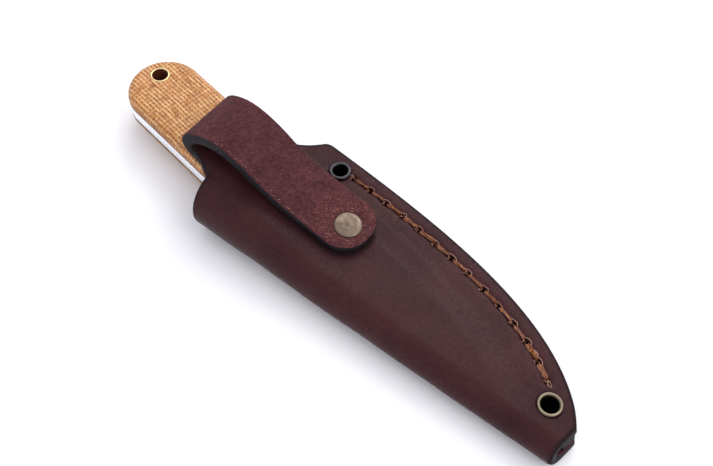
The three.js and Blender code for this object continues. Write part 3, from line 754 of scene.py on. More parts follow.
def boundary_loops(faces):
    """The loops that a quad skin's boundary edges make, each in the direction of its faces."""
    edges = {}
    for face in faces:
        for a, b in zip(face, np.roll(face, -1)):
            edges[(int(a), int(b))] = True
    left = {a: b for a, b in edges if (b, a) not in edges}
    loops = []
    while left:
        start, here = next(iter(left.items()))
        loop = [start]
        del left[start]
        while here != start:
            loop.append(here)
            here = left.pop(here)
        loops.append(loop)
    return loops


END_LEAN = 1.4  # how much further the front panel's end reaches than the back panel's
LEAN_REACH = 9.0  # over how much of the length it builds up
END_DRAWN_IN = 0.07  # part of its width that the sheath loses as its end corner rounds off
DRAWN_REACH = 4.5
EYELET_ROOM = 0.7  # past the bore, where the leather's faces are taken out
CUT_EDGE_POINTS = 200  # a loop with more is a cut edge, one with fewer an eyelet hole
EDGE_BULGE = 0.14  # how far a cut edge is rubbed round
UNEVEN_DEPTH, UNEVEN_PITCH = 0.16, 0.085  # of the hand-worked surface
PIT_FACE = 3.2  # awl holes show on the panels, further than this from the middle ply; there they get painted shade
RUBBED_FULL, RUBBED_NONE = 6.0, 14.0  # the nap is rubbed inside these distances from the rivet


def lean_end(points):
    """The cut end slants, so the front panel reaches further, and its outer corner is rounded."""
    share = smoothstep(points[:, 0], SHEATH_END - LEAN_REACH, SHEATH_END)
    reach = END_LEAN * (1 - points[:, 2] / LAMINATED) * share
    near_end = np.clip((points[:, 0] - (SHEATH_END - DRAWN_REACH)) / DRAWN_REACH, 0, 1)
    drawn = -END_DRAWN_IN * near_end ** 2.5 * np.maximum(points[:, 1], 0)
    return points + np.column_stack([reach, drawn, np.zeros(len(points))])


def eyelet_clearance(points, name):
    return np.linalg.norm(points[:, :2] - EYELETS[name][:2], axis=1)


def sheath_skins():
    """Grain side and flesh side of the body and tongue, their quads, the body's number of points,
    and the line just inside the strap's near edge."""
    outer, inner = sheath_grid()
    first = PANEL_COLUMNS - TONGUE_COLUMNS
    grain, flesh = tongue_grid(outer[0, first:PANEL_COLUMNS, 2])
    body = np.arange(outer[..., 0].size).reshape(outer.shape[:2])
    tongue = np.arange(grain[..., 0].size).reshape(grain.shape[:2]) + body.size
    tongue = np.vstack([body[:1, first:PANEL_COLUMNS], tongue])
    faces = np.vstack([grid_faces(body), grid_faces(tongue)[:, ::-1]])
    outside = np.vstack([lean_end(outer.reshape(-1, 3)), grain.reshape(-1, 3)])
    inside = np.vstack([lean_end(inner.reshape(-1, 3)), flesh.reshape(-1, 3)])
    return outside, inside, faces, body.size, flesh[:, -4]


def open_eyelet_holes(outside, inside, faces, body_points):
    """The faces that are left round the eyelets, with the rims moved out to circles."""
    on_body = np.arange(len(outside)) < body_points
    for name, bore in EYELET_BORE.items():
        reach = bore / 2 + EYELET_ROOM
        near = (eyelet_clearance(outside, name) < reach) & on_body
        faces = faces[~near[faces].any(1)]
        rims = [loop for loop in boundary_loops(faces)
                if eyelet_clearance(outside[loop], name).max() < reach + 2.5]
        for loop in rims:
            for skin in (outside, inside):
                away = skin[loop][:, :2] - EYELETS[name][:2]
                away *= (reach - 0.3) / np.linalg.norm(away, axis=1, keepdims=True)
                skin[loop, :2] = EYELETS[name][:2] + away
    return faces


def edge_tree(rings, samples=4):
    """Points along the cut edges, to measure distances from."""
    points = np.vstack([mix(ring, np.roll(ring, -1, 0), step / samples)
                        for ring in rings for step in range(samples)])
    tree = KDTree(len(points))
    for number, point in enumerate(points):
        tree.insert(point, number)
    tree.balance()
    return tree


def edge_drop(distance, radius):
    """How far the surface has dropped at a distance from an edge rounded to the radius."""
    left = np.clip(radius - distance, 0, radius)
    return 0.9 * (radius - np.sqrt(radius ** 2 - left ** 2))[:, None]


def cut_walls(outside, inside, through, faces, loops):
    """The walls between the skins along every boundary loop: points and quads."""
    centre = {}
    for face in faces:
        middle = outside[face].mean(0)
        for v in face:
            centre.setdefault(int(v), []).append(middle)
    walls, points, count = [], [], 2 * len(outside)
    for loop in loops:
        bulge = EDGE_BULGE if len(loop) > CUT_EDGE_POINTS else 0.0
        ring = outside[loop]
        tangent = np.roll(ring, -1, 0) - np.roll(ring, 1, 0)
        outward = np.array([outside[v] - np.mean(centre[v], 0) for v in loop])
        for axis in (tangent, through[loop]):
            unit = axis / np.linalg.norm(axis, axis=1, keepdims=True)
            outward -= unit * np.sum(outward * unit, axis=1, keepdims=True)
        outward /= np.maximum(np.linalg.norm(outward, axis=1, keepdims=True), 1e-9)
        layers = [np.array(loop)]
        for step in (0.25, 0.5, 0.75):
            rubbed = outward * bulge * math.sin(math.pi * step)
            points.append(mix(ring, inside[loop], step) + rubbed)
            layers.append(np.arange(len(loop)) + count)
            count += len(loop)
        layers.append(np.array(loop) + len(outside))
        walls.append(grid_faces(np.array(layers), closed=True))
    return np.vstack(points), np.vstack(walls)


def build_sheath(materials):
    """The folded leather with its tongue. Returns the line just inside the strap's near edge."""
    outside, inside, faces, body_points, strap_side = sheath_skins()
    faces = open_eyelet_holes(outside, inside, faces, body_points)
    loops = boundary_loops(faces)
    near_edge = edge_tree([outside[loop] for loop in loops if len(loop) > CUT_EDGE_POINTS])
    distance = np.array([near_edge.find(p)[2] for p in outside])
    through = inside - outside
    through /= np.linalg.norm(through, axis=1, keepdims=True)
    uneven = np.array([smooth_noise.noise(Vector(p) * UNEVEN_PITCH) for p in outside])[:, None]
    uneven = UNEVEN_DEPTH * uneven * smoothstep(distance, 0, 6)[:, None]
    outside = outside + through * (edge_drop(distance, RIM) + uneven)
    inside = inside - through * edge_drop(distance, FLESH_RIM)

    wall_points, walls = cut_walls(outside, inside, through, faces, loops)
    points = np.vstack([outside, inside, wall_points])
    all_faces = np.vstack([faces, faces[:, ::-1] + len(outside), walls])
    slots = np.repeat((0, 1, 2), (len(faces), len(faces), len(walls)))
    used, all_faces = np.unique(all_faces, return_inverse=True)
    piece = mesh_piece("sheath_leather_body", points[used], all_faces.reshape(-1, 4), materials,
                       "sheath", ["sheath_leather"], slots)
    press_stitch_line(piece)

    co = (np.array([v.co for v in piece.data.vertices]) - ORIGIN) / MM
    rim = np.array([1 - smoothstep(near_edge.find(p)[2], 0.1, 1.5) for p in co])
    on_panel = np.abs(co[:, 2] - LAMINATED / 2) > PIT_FACE
    from_rivet = np.hypot(co[:, 0] - RIVET_X, co[:, 1] - RIVET_Y)
    set_values(piece.data, "rim", rim)
    # painted shade in the awl holes, on the panels only
    set_values(piece.data, "pit", stitch_pits(co[:, :2])[0] * on_panel)
    set_values(piece.data, "rubbed", 1 - smoothstep(from_rivet, RUBBED_FULL, RUBBED_NONE))
    return strap_side


PIT_DEPTH = 1.5
PIT_ALONG, PIT_ACROSS = 0.85, 0.55  # half sizes of an awl hole
PRESSED = 0.28  # how far the stitches have sunk the back panel
GROOVE, GROOVE_HALF = 1.05, 0.95  # cut into the front panel for the thread
RECESS, RECESS_RADIUS = 1.35, 4.3  # for the eyelet washers in the front panel
stitch_line = np.array([inside_edge(distance, STITCH_INSET)[0]
                        for distance in np.linspace(FIRST_HOLE, LAST_HOLE, 160)])


def stitch_pits(plan):
    """How deep in an awl hole each point is, from 0 to 1, and how far from the nearest hole."""
    places = np.array([p for p, _ in holes])
    runs = np.array([r for _, r in holes])
    away = plan[:, None] - places[None]
    nearest = np.argmin(np.linalg.norm(away, axis=2), axis=1)
    away, run = away[np.arange(len(plan)), nearest], runs[nearest]
    along = np.abs(np.sum(away * run, 1)) / PIT_ALONG
    across = np.abs(away[:, 0] * run[:, 1] - away[:, 1] * run[:, 0]) / PIT_ACROSS
    return np.exp(-0.7 * (along ** 1.5 + across ** 1.5) ** 1.6), np.linalg.norm(away, axis=1)


def line_distance(plan):
    return np.min(np.linalg.norm(plan[:, None] - stitch_line[None], axis=2), axis=1)


def press_stitch_line(piece):
    """Presses the stitch line, its groove, the awl holes and the washers' seats into the panels."""
    work = bmesh.new()
    work.from_mesh(piece.data)
    eyelet_places = np.array([centre[:2] for centre in EYELETS.values()])

    def plan(points):
        return (np.array(points) - ORIGIN)[:, :2] / MM

    def refine(is_near):
        flat = [f for f in work.faces if f.material_index == 0 and abs(f.normal.z) > 0.8]
        near = is_near(plan([f.calc_center_median() for f in flat]),
                       np.array([f.normal.z for f in flat]))
        edges = {edge for face, chosen in zip(flat, near) if chosen for edge in face.edges}
        bmesh.ops.subdivide_edges(work, edges=list(edges), cuts=1, use_grid_fill=True)

    def eyelet_distance(points):
        return np.min(np.linalg.norm(points[:, None] - eyelet_places[None], axis=2), axis=1)

    refine(lambda p, up: (line_distance(p) < 2.0) | ((eyelet_distance(p) < 5.5) & (up < 0)))
    refine(lambda p, up: (stitch_pits(p)[1] < 1.4) | ((eyelet_distance(p) < 5.0) & (up < 0)))
    verts = [v for v in work.verts if abs(v.normal.z) > 0.6
             and any(face.material_index == 0 for face in v.link_faces)]
    here = plan([v.co for v in verts])
    side = np.sign([v.normal.z for v in verts])
    gap, (pit, hole_gap) = line_distance(here), stitch_pits(here)
    sunk = np.where(side > 0, PRESSED * np.exp(-(gap / 1.1) ** 2),
                    GROOVE * np.exp(-(gap / GROOVE_HALF) ** 4))
    depth = sunk + (PIT_DEPTH * pit + 0.2 * np.exp(-(hole_gap / 1.5) ** 2)) * (gap < 4)
    seat = RECESS * (1 - smoothstep(eyelet_distance(here), RECESS_RADIUS - 0.35, RECESS_RADIUS))
    depth = np.maximum(depth, seat * (side < 0))
    for vert, way, amount in zip(verts, side, depth):
        vert.co.z -= way * amount * MM
    work.to_mesh(piece.data)
    work.free()
    piece.data.update()


# ---- welt
def build_welt(material):
    """The filler strip between the panels, whose edge shows as the middle ply."""
    fill_start, fill_edge = 109.5, LAMINATED / 2
    inner = [(16, 34.6), (52, 27.4), (100, 32), (fill_start, fill_edge)]
    inner = bezier(inner, np.linspace(0, 1, 70))
    end = [(SHEATH_END - END_CUT_SLANT * 0.3, 8.0),
           (SHEATH_END - END_CUT_SLANT * 0.6, fill_edge + 0.4)]
    outline = np.vstack([outline_top, end])
    steps = np.linspace(0, run_lengths(outline)[-1], 220)
    ring = offset_ring(np.vstack([inner, walk(outline, steps)[::-1]]), 0.12)
    points, faces = plate(ring, LEATHER + 0.04, LAMINATED - LEATHER - 0.04, 0.3, 3)
    welt = mesh_piece("sheath_welt_strip", lean_end(points), faces, [material],
                      "sheath", ["welt"])
    for x, y, _ in EYELETS.values():
        cut_with(welt, *rod(EYELET_OUTSIDE / 2 - 0.5, -1, LAMINATED + 1, x, y))
    for (x, y), _ in holes:
        cut_with(welt, *rod(0.75, -1, LAMINATED + 1, x, y, 12))
    sharpen(welt, 50)
    set_values(welt.data, "rim", np.zeros(len(welt.data.vertices)))


# ---- stitching
STRAND_TURNS = 0.8  # twist of the two strands over one stitch
DIP = 0.13  # share of a stitch that dives into each hole
WIDE_STITCHES = (11, 12)  # the last two, which lie flatter
SPLIT_PLIES = 3  # thin plies split off each stitch on the side that shows
THREAD_FLOOR = 0.32  # the lowest that the thread goes in its groove, clear of the floor


def strand(start, end, base, up, width, phase, slant):
    """One of a stitch's two strands, as a path with its widths and thicknesses."""
    t = np.linspace(0, 1, 40)
    run = (end - start) / np.linalg.norm(end - start)
    side = np.array((-run[1], run[0]))
    spread_out = smoothstep(t, 0, DIP * 2) * smoothstep(1 - t, 0, DIP * 2)
    lifted = smoothstep(t, 0, DIP) * smoothstep(1 - t, 0, DIP)
    turn = phase + STRAND_TURNS * math.pi * t
    across = slant * (t - 0.5) + 0.27 * width * np.cos(turn) * mix(0.35, 1, spread_out)
    plan = mix(start, end, t[:, None]) + side * across[:, None]
    height = base + up * (mix(-1.5, 0.3, lifted) + 0.1 * np.sin(turn) * spread_out)
    path = np.column_stack([plan, height])
    return path, 0.62 * width * mix(0.6, 1, spread_out), np.full(len(t), 0.5), (*side, 0)


def lock_loop(hole, run, base, up, reach, rng):
    """The pale turn of the other thread, which hooks over the edge side of a hole."""
    edge_side = np.array((-run[1], run[0]))
    offsets = [(-1.9, 0.1, -0.3), (-1.3, 0.45, 0.35), (-0.2, 0.85 * reach, 0.6),
               (0.8, 0.85 * reach, 0.5), (1.5, 0.5, 0.3), (1.8, 0.25, -0.5)]
    points = []
    for ahead, over, high in offsets:
        plan = hole + run * (ahead + rng.uniform(-0.3, 0.3))
        plan = plan + edge_side * (over + rng.uniform(-0.18, 0.18))
        points.append((*plan, base + up * high))
    path = catmull(points, 7)
    size = np.full(len(path), 0.24)
    return path, size, size * 0.8, (0.3, 0.2, 1)


def fuzz(spot, base, rng, count, size, spread_radius):
    """A few short stray fibres, each a thin curl."""
    parts = []
    for _ in range(count):
        heading = rng.uniform(0, 2 * math.pi)
        bend = rng.uniform(-1.6, 1.6)
        length = rng.uniform(0.5, 1.0) * size
        away = rng.uniform(0.2, 1) * spread_radius
        toward = rng.uniform(0, 2 * math.pi)
        here = np.array((spot[0] + away * math.cos(toward),
                         spot[1] + away * math.sin(toward), base))
        points = [here]
        for step in range(4):
            heading += bend / 4
            rise = 0.35 * math.sin(math.pi * (step + 1) / 5) * size
            here = here + np.array((math.cos(heading), math.sin(heading), 0)) * length / 4
            points.append((here[0], here[1], base + rise))
        path = catmull(points, 4)
        thin = np.full(len(path), 0.11) * np.linspace(1, 0.6, len(path))
        parts.append(tube(path, thin, thin, (0.2, 0.1, 1), 5))
    return parts


def build_stitching(material):
    """Stitches on both sides, pale turns and fuzz at the holes, and the thread's two ends."""
    rng = random.Random(7)
    parts, worn = [], []

    def add(part, tone):
        parts.append(part)
        worn.append(np.full(len(part[0]), tone))

    for base, up in ((LAMINATED - PRESSED, 1), (GROOVE, -1)):
        for i in range(STITCH_COUNT):
            (start, run), (end, _) = holes[i], holes[i + 1]
            width = 1.75 if i in WIDE_STITCHES else rng.uniform(1.05, 1.3)
            slant = rng.uniform(0.25, 0.6)
            reach = rng.uniform(-0.95, -0.3) if up > 0 else 0.1
            tone = rng.uniform(0.0, 0.1)
            for phase in (0.2, math.pi + 0.2):
                path, wide, tall, across = strand(start - run * reach, end + run * reach, base, up,
                                                  width, phase + rng.uniform(-0.5, 0.5), slant)
                if up < 0:
                    path[:, 2] = np.maximum(path[:, 2], THREAD_FLOOR)
                add(tube(path, wide, tall, across, 10, lobes=4, twist=0.22),
                    tone + 0.12 * (phase > 1))
            for _ in range(SPLIT_PLIES if up > 0 else 0):
                ply_start = start + run * rng.uniform(-0.4, 2.0)
                ply_end = end - run * rng.uniform(-0.4, 2.0)
                path, wide, tall, across = strand(ply_start, ply_end, base + 0.22, up,
                                                  width * rng.uniform(0.8, 1.5),
                                                  rng.uniform(0, 6.3), rng.uniform(-0.3, 0.9))
                add(tube(path, wide * 0.28, tall * 0.45, across, 6), rng.uniform(0.0, 0.6))
        for hole, run in holes[1:-1] if up > 0 else []:
            turn = lock_loop(hole, run, base, up, rng.uniform(0.85, 1.15), rng)
            add(tube(*turn, 7), rng.uniform(0.5, 1.0))
    for hole, run in holes:
        inward = np.array((run[1], -run[0])) * 0.9
        for part in fuzz(hole + inward - run * 0.3, LAMINATED + 0.05, rng, 4, 0.75, 0.45):
            add(part, 1.0)
    first, run = holes[0]
    tail = [(-1.9, -1.3, -0.1), (-1.7, -0.5, 0.2), (-0.9, 0.2, 0.3), (0, 0, 0), (0.3, 0, -0.9)]
    tail = catmull([(*(first + run * ahead + (0, over)), LAMINATED + high)
                    for ahead, over, high in tail], 7)
    add(tube(tail, np.full(len(tail), 0.34), np.full(len(tail), 0.28), (0, 0, 1), 7), 0.7)
    last, run = holes[-1]
    for step in range(3):
        ring = []
        for turn in np.linspace(0, 1.6 * math.pi, 8):
            reach = 0.4 + 0.08 * step
            centre = last + run * (0.4 + 0.42 * step) + np.array((rng.uniform(-0.3, 0.3), 0))
            heading = turn + step * 1.3
            plan = centre + reach * np.array((math.cos(heading), math.sin(heading)))
            ring.append((*plan, LAMINATED + 0.1 + 0.25 * math.sin(turn * 0.7)))
        path = catmull(ring, 5)
        add(tube(path, np.full(len(path), 0.17), np.full(len(path), 0.15), (0, 0, 1), 7), 0.8)
    points, faces = join(parts)
    thread = mesh_piece("sheath_stitching_thread", points, faces, [material],
                        "sheath", ["stitching"])
    set_values(thread.data, "worn", np.concatenate(worn))


def build_edge_fibres(material, near_side):
    """Pale fibres pulled up along the strap's near cut edge."""
    rng = random.Random(11)
    parts = []
    upper = near_side[int(len(near_side) * 0.3):int(len(near_side) * 0.78)]
    for spot in upper:
        count = rng.choice((0, 0, 0, 1, 1, 2))
        parts += fuzz(spot[:2] + (0, 0.25), spot[2] - 0.02, rng, count, 0.5, 0.6)
    points, faces = join(parts)
    fibres = mesh_piece("strap_edge_fibres", points, faces, [material], "sheath")
    set_values(fibres.data, "worn", np.ones(len(fibres.data.vertices)))


# ---- rivet and eyelets
METAL_SIDES = 96


def metal_piece(name, profile, shift, materials, stands_for, worn_height, shade_radius=0.0):
    """A turned metal piece, rubbed bright near worn_height, with painted shade, its second
    material, on the faces inside the given radius.
    """
    points, faces = turned(profile, METAL_SIDES)
    middle = points[faces].mean(1)
    # faces inside the radius take the second material, painted shade
    slots = (np.hypot(middle[:, 0], middle[:, 1]) < shade_radius).astype(int)
    worn = 1 - smoothstep(np.abs(points[:, 2] - worn_height), 0.02, 0.3)
    piece = mesh_piece(name, shift(points), faces, materials, "sheath", stands_for, slots)
    set_values(piece.data, "worn", worn)
    sharpen(piece, 50)


def build_rivet(material):
    lean = (math.cos(RIVET_TILT), math.sin(RIVET_TILT))

    def shift(points):
        x = points[:, 0] * lean[0] + points[:, 2] * lean[1]
        z = points[:, 2] * lean[0] - points[:, 0] * lean[1]
        return np.column_stack([RIVET_X + x, RIVET_Y + points[:, 1], STRAP_AT_RIVET + z])

    centre, post = 0.001, 1.5
    cap = [(centre, -2.6), (post, -2.6), (post, -0.25), (RIVET_RADIUS - 0.2, -0.25),
           (RIVET_RADIUS, 0.0), (RIVET_RADIUS, 0.34), (RIVET_RADIUS - 0.42, 0.62),
           (2.0, 0.74), (centre, 0.78)]
    cap = rounded(cap, [0, 0, 0, 0.1, 0.1, 0.16, 0.16, 0.6, 0], 4)
    metal_piece("rivet_cap_domed", cap, shift, [material], ["rivet_cap"], 0.5)
    low = -6.75
    back = rounded([(post + 0.1, low), (3.1, low), (3.1, low + 0.6), (2.1, low + 0.6),
                    (2.1, low + 1.9), (post + 0.1, low + 1.9)], 0.15, 3)
    metal_piece("rivet_back_cap", back, shift, [material], ["rivet_back"], low)


def build_eyelet(name, metal, inside):
    """The rolled flange with its barrel and clinched lip, and the washer under the lip."""
    bore = EYELET_BORE[name] / 2 - 0.12
    top, outside = LAMINATED + 0.02, EYELET_OUTSIDE / 2

    def shift(points):
        return points + (*EYELETS[name][:2], 0)

    roll = [(outside - 0.12, top), (outside, top + 0.32), (outside - 0.3, top + 0.82),
            (bore + 0.42, top + 0.86), (bore, top + 0.3)]
    lip = [(bore, 0.55), (bore + 0.2, 0.12), (bore + 1.1, 0.14), (bore + 1.15, 0.42),
           (bore + 0.35, 0.5), (bore + 0.3, top)]
    profile = rounded(roll + lip, [0.1, 0.3, 0.3, 0.3, 0.25, 0.3, 0.15, 0.15, 0.15, 0.1, 0.0], 5)
    # The bore's faces get the second material: near black painted shade inside the hole.
    metal_piece(f"{name}_eyelet_rolled", profile, shift, [metal, inside], [f"{name}_eyelet"],
                top + 0.8, bore + 0.02)
    ring, inner = EYELET_OUTSIDE / 2 + 0.35, bore + 0.4
    washer = [(inner, 0.6), (ring, 0.6), (ring, 1.0), (ring - 0.5, 1.25), (inner, 1.25)]
    metal_piece(f"{name}_eyelet_back_washer", rounded(washer, 0.12, 3), shift, [metal],
                [f"{name}_eyelet_washer"], 0.6)


# ---- knife
KNIFE_HEIGHT = 9.4  # middle of the tang at the mouth
TILT_RUN = 104.0  # over this length it sinks to the middle of the stitched edge's plies
KNIFE_TILT = math.atan((KNIFE_HEIGHT - LAMINATED / 2) / TILT_RUN)
TANG = 4.0
POMMEL_X, POMMEL_Y, POMMEL_RADIUS = -36.3, 28.6, 12.0
HANDLE_MIDDLE = 22.4  # across, at the mouth
HANDLE_TURN = math.atan2(POMMEL_Y - HANDLE_MIDDLE, -POMMEL_X)
FRONT_BACK, FRONT_BELLY = 6.4, 28.0  # the handle's two sides at its front end
HANDLE_FRONT, HANDLE_HALF, HANDLE_FRONT_HALF, TAPER_START = 34.0, 5.8, 3.3, 4.0
LANYARD_X, LANYARD_Y = -40.9, 31.0
LANYARD_OUTSIDE, LANYARD_BORE = 6.3, 5.0
PIN_RADIUS = 2.0
PINS = {"mid_pin": (-5, 23.4), "front_pin": (24, 17.8)}


def knife_place(points):
    """From the knife's axes, Z about the middle of the tang, to the sheath's axes."""
    p = np.asarray(points, float)
    c, s = math.cos(KNIFE_TILT), math.sin(KNIFE_TILT)
    return np.stack([p[:, 0] * c + p[:, 2] * s, p[:, 1],
                     KNIFE_HEIGHT - p[:, 0] * s + p[:, 2] * c], -1)


def handle_ring(corner):
    """The handle's outline from above, with the two front corners rounded."""
    turn = HANDLE_TURN
    out = POMMEL_RADIUS * np.array((math.sin(turn), math.cos(turn)))
    pommel = np.array((POMMEL_X, POMMEL_Y))
    whole = np.linspace(0, 1, 90)
    back = bezier([(HANDLE_FRONT, FRONT_BACK), (18, 7.2), (-4, 11.4), pommel - out], whole)
    belly = bezier([pommel + out, (-12, 36.6), (8, 34.2), (HANDLE_FRONT, FRONT_BELLY)], whole)
    angles = np.linspace(1.5 * math.pi - turn, 0.5 * math.pi - turn, 60)[1:-1]
    arc = pommel + POMMEL_RADIUS * np.stack([np.cos(angles), np.sin(angles)], -1)
    back = walk(back, np.linspace(corner, run_lengths(back)[-1], 80))
    belly = walk(belly, np.linspace(0, run_lengths(belly)[-1] - corner, 80))
    round_off = np.linspace(0, 1, 12)
    upper = bezier([belly[-1], (HANDLE_FRONT, FRONT_BELLY), (HANDLE_FRONT, FRONT_BELLY - corner)],
                   round_off)[1:]
    lower = bezier([(HANDLE_FRONT, FRONT_BACK + corner), (HANDLE_FRONT, FRONT_BACK), back[0]],
                   round_off)[:-1]
    front = np.linspace(upper[-1], lower[0], 18)[1:-1]
    return np.vstack([back, arc, belly, upper, front, lower])


def scale_top(x):
    """Half thickness of the handle, thinned towards the front where the forefinger rests."""
    share = np.clip((x - TAPER_START) / (HANDLE_FRONT - TAPER_START), 0, 1)
    return mix(HANDLE_HALF, HANDLE_FRONT_HALF, share)


def handle_scale(side):
    """A handle slab with rounded edges, as points and faces in the knife's axes."""
    low = TANG / 2 + 0.6
    ring = handle_ring(3.6)
    spine_x = np.clip(ring[:, 0], POMMEL_X, HANDLE_FRONT - 8)
    spine_y = HANDLE_MIDDLE - spine_x * math.tan(HANDLE_TURN) * np.where(spine_x < 0, 1, 0.55)
    spine = np.stack([spine_x, spine_y], -1)
    layers = [(ring, low), (ring, HANDLE_HALF - 2.9)]
    for arc in np.linspace(0, math.pi / 2, 12)[1:]:
        inset = 3.0 * (1 - math.cos(arc))
        layers.append((offset_ring(ring, inset), HANDLE_HALF - 2.9 * (1 - math.sin(arc))))
    top_ring = layers[-1][0]
    for share in (0.25, 0.5, 0.75, 0.92):
        layers.append((mix(top_ring, spine, share), HANDLE_HALF))
    points = []
    for plan, height in layers:
        top = scale_top(plan[:, 0])
        z = low + (height - low) * (top - low) / (HANDLE_HALF - low)
        points.append(np.column_stack([plan, side * z]))
    return capped(points)


BLADE_TIP, BLADE_BACK, BLADE_EDGE = 107.0, 6.3, 26.0


def blade_section(x, steps=9):
    """One section of the blade as a closed ring: rounded spine, flat sides, ground bevels."""
    reach = np.clip((x - HANDLE_FRONT - 4) / (BLADE_TIP - HANDLE_FRONT - 4), 0, 1)
    back = BLADE_BACK + 3.4 * smoothstep(reach, 0.72, 1) ** 1.5
    belly = BLADE_EDGE - (BLADE_EDGE - back - 0.6) * reach ** 3.4
    half = mix(TANG / 2, 1.2, reach)
    wedge = min(6.5, 0.75 * (belly - back))
    plunge = smoothstep(x, HANDLE_FRONT + 4, HANDLE_FRONT + 8)
    soft = min(0.35, 0.1 * (belly - back))
    corner = 0.3 * half
    one_side = [(back, 0.0), (back, half - corner), (back + soft * 0.3, half - 0.3 * corner),
                (back + soft, half), (mix(back, belly - wedge, 0.5), half), (belly - wedge, half)]
    for t in np.linspace(0, 1, steps)[1:]:
        one_side.append((belly - wedge * (1 - t), mix(half, mix(half, 0.1, t), plunge)))
    upper = [(x, y, z) for y, z in one_side]
    lower = [(x, y, -z) for y, z in one_side[1:]][::-1]
    return upper + lower


def knife_blade():
    """The blade in front of the handle, as points and faces in the knife's axes."""
    stations = np.concatenate([
        np.linspace(HANDLE_FRONT - 3, HANDLE_FRONT + 4, 8)[:-1],
        np.linspace(HANDLE_FRONT + 4, HANDLE_FRONT + 8, 9)[:-1],
        mix(HANDLE_FRONT + 8, BLADE_TIP, np.sin(np.linspace(0, math.pi / 2, 60)))])
    return capped([blade_section(x) for x in stations])


def knife_piece(name, shape, materials, node, slots=None):
    """A piece from points and faces in the knife's axes."""
    points, faces = shape
    return mesh_piece(f"knife_{name}", knife_place(points), faces, materials, "knife", [node],
                      slots)


def build_knife():
    """The blade with its tang, the liners and scales, all bored for the lanyard tube."""
    micarta, fibre, brass = woven_micarta(), fibre_liner(), bright_brass()
    # The tang's steel is painted near white and partly diffuse: a painted highlight for the
    # studio's reflection; the blade's steel is the real metal.
    steel_painted_highlight = ground_steel("tang_steel_painted_highlight", 0.4, (0.80, 0.82, 0.88), (0.97, 0.97, 0.98))
    blade_steel = ground_steel("satin_ground_blade", 1.0, (0.27, 0.28, 0.30), (0.46, 0.47, 0.50))
    tang, front = plate(handle_ring(0.4), -TANG / 2, TANG / 2, 0.12, 2), knife_blade()
    slots = [0] * len(tang[1]) + [1] * len(front[1])
    pieces = [knife_piece("blade_and_tang", join([tang, front]), [steel_painted_highlight, blade_steel],
                          "blade", slots)]
    for name, side in (("upper", 1), ("lower", -1)):
        low, high = sorted((side * (TANG / 2 + 0.02), side * (TANG / 2 + 0.58)))
        liner = plate(handle_ring(1.2), low, high, 0.06, 1)
        pieces.append(knife_piece(f"{name}_liner", liner, [fibre], f"{name}_liner"))
        pieces.append(knife_piece(f"{name}_scale", handle_scale(side), [micarta],
                                  f"{name}_scale"))
    points, faces = rod(LANYARD_OUTSIDE / 2 + 0.02, -9, 9, LANYARD_X, LANYARD_Y)
    for piece in pieces:
        cut_with(piece, knife_place(points), faces)
        sharpen(piece, 30)
    build_lanyard_tube(brass)
    build_pins(brass)


def build_lanyard_tube(brass):
    inner, outer, end = LANYARD_BORE / 2, LANYARD_OUTSIDE / 2, HANDLE_HALF + 0.03
    profile = rounded([(inner, -end), (outer, -end), (outer, end), (inner, end)], 0.35)
    points, faces = turned(profile, METAL_SIDES)
    middle = points[faces].mean(1)
    in_bore = np.hypot(middle[:, 0], middle[:, 1]) < inner + 0.06
    # the bore's faces take the second material, painted shade
    bored = in_bore & (np.abs(middle[:, 2]) < end - 0.5)
    piece = knife_piece("lanyard_tube", (points + (LANYARD_X, LANYARD_Y, 0), faces),
                        [brass, bore_painted_shade()], "lanyard_tube",
                        bored.astype(int))
    sharpen(piece, 50)


def build_pins(brass):
    for name, (x, y) in PINS.items():
        half = float(scale_top(x)) + 0.02
        rim = [(1.85, -half), (PIN_RADIUS, 0.15 - half), (PIN_RADIUS, half - 0.15), (1.85, half)]
        points, faces = turned([(0.001, -half), *rim, (0.001, half)], 40)
        pin = knife_piece(name, (points + (x, y, 0), faces), [brass], name)
        sharpen(pin, 40)


# ---- camera, light and floor
CAMERA_AT = (133.562, -93.774, 225.3)  # all three fitted to the photograph
CAMERA_FORWARD, CAMERA_UP = (-0.34347, 0.45038, -0.82413), (-0.49975, 0.65531, 0.56641)
SENSOR_WIDTH, LENS = 36, 45.44
SKY, SKY_STRENGTH = (0.93, 0.935, 1.0, 1), 1.06
FLOOR_SIZE, FLOOR_GAP = 3, 0.0002  # metres; the gap is between the floor and z = 0


def aim(obj, forward, up):
    forward, up = Vector(forward).normalized(), Vector(up).normalized()
    right = forward.cross(up).normalized()
    up = right.cross(forward)
    obj.matrix_world = Matrix((
        (right.x, up.x, -forward.x, obj.location.x),
        (right.y, up.y, -forward.y, obj.location.y),
        (right.z, up.z, -forward.z, obj.location.z),
        (0, 0, 0, 1)))


def camera():
    data = bpy.data.cameras.new("camera")
    data.sensor_width, data.lens = SENSOR_WIDTH, LENS
    data.clip_start = 0.01
    cam = add_object("camera", data)
    cam.location = place(CAMERA_AT)
    aim(cam, CAMERA_FORWARD, CAMERA_UP)
    bpy.context.scene.camera = cam


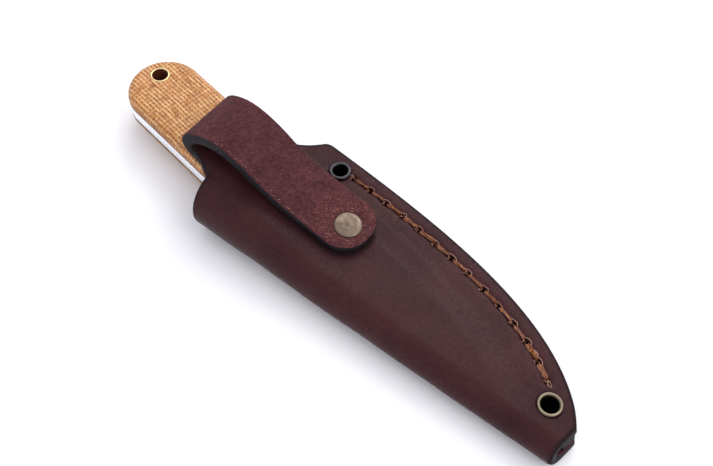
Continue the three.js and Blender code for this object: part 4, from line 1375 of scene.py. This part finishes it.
def area_light(name, location, size, power, colour):
    """A rectangular light that looks at the origin."""
    data = bpy.data.lights.new(name, "AREA")
    data.shape, data.size, data.size_y = "RECTANGLE", *size
    data.energy, data.color = power, colour
    light = add_object(name, data)
    light.location = location
    aim(light, -Vector(location), (0, 0, 1))


def studio():
    world = bpy.data.worlds.new("studio")
    bpy.context.scene.world = world
    world.use_nodes = True
    background = world.node_tree.nodes["Background"]
    background.inputs["Color"].default_value = SKY
    background.inputs["Strength"].default_value = SKY_STRENGTH
    area_light("key", (-0.15, 0.7, 0.8), (0.8, 0.6), 4.6, (1, 0.985, 0.955))
    area_light("fill", (0.7, 0.1, 0.8), (0.6, 0.6), 2.5, (1, 0.99, 0.97))
    mesh = bpy.data.meshes.new("floor")
    work = bmesh.new()
    bmesh.ops.create_grid(work, x_segments=8, y_segments=8, size=FLOOR_SIZE)
    work.to_mesh(mesh)
    work.free()
    mesh.materials.append(floor_white())
    floor = add_object("floor", mesh)
    floor.location.z = -FLOOR_GAP
    view = bpy.context.scene.view_settings
    view.view_transform, view.look = "Standard", "None"


# ---- assembly
grain, flesh, edge = grain_leather(), flesh_leather(), burnished_edge()
camera()
studio()
thread = waxed_thread()
antique = aged_brass("antique_brass_patina", (0.095, 0.074, 0.052), (0.19, 0.152, 0.108),
                     (0.30, 0.245, 0.17))
rivet_brass = aged_brass("aged_brass_rivet", (0.085, 0.062, 0.046), (0.155, 0.116, 0.087),
                         (0.20, 0.15, 0.112))
gunmetal = aged_brass("gunmetal_black_nickel", (0.012, 0.0115, 0.013), (0.032, 0.030, 0.034),
                      (0.085, 0.080, 0.088))
# Painted shade for the eyelet barrels' bore: near black, standing in for the shade inside the
# holes.
barrel_painted_shade = aged_brass("eyelet_bore_painted_shade", (0.004, 0.004, 0.005), (0.010, 0.009, 0.010),
                   (0.02, 0.018, 0.016), (0.7, 0.8))
strap_near_side = build_sheath([grain, flesh, edge])
build_welt(edge)
build_stitching(thread)
build_edge_fibres(thread, strap_near_side)
build_rivet(rivet_brass)
build_eyelet("upper", gunmetal, barrel_painted_shade)
build_eyelet("lower", antique, barrel_painted_shade)
build_knife()
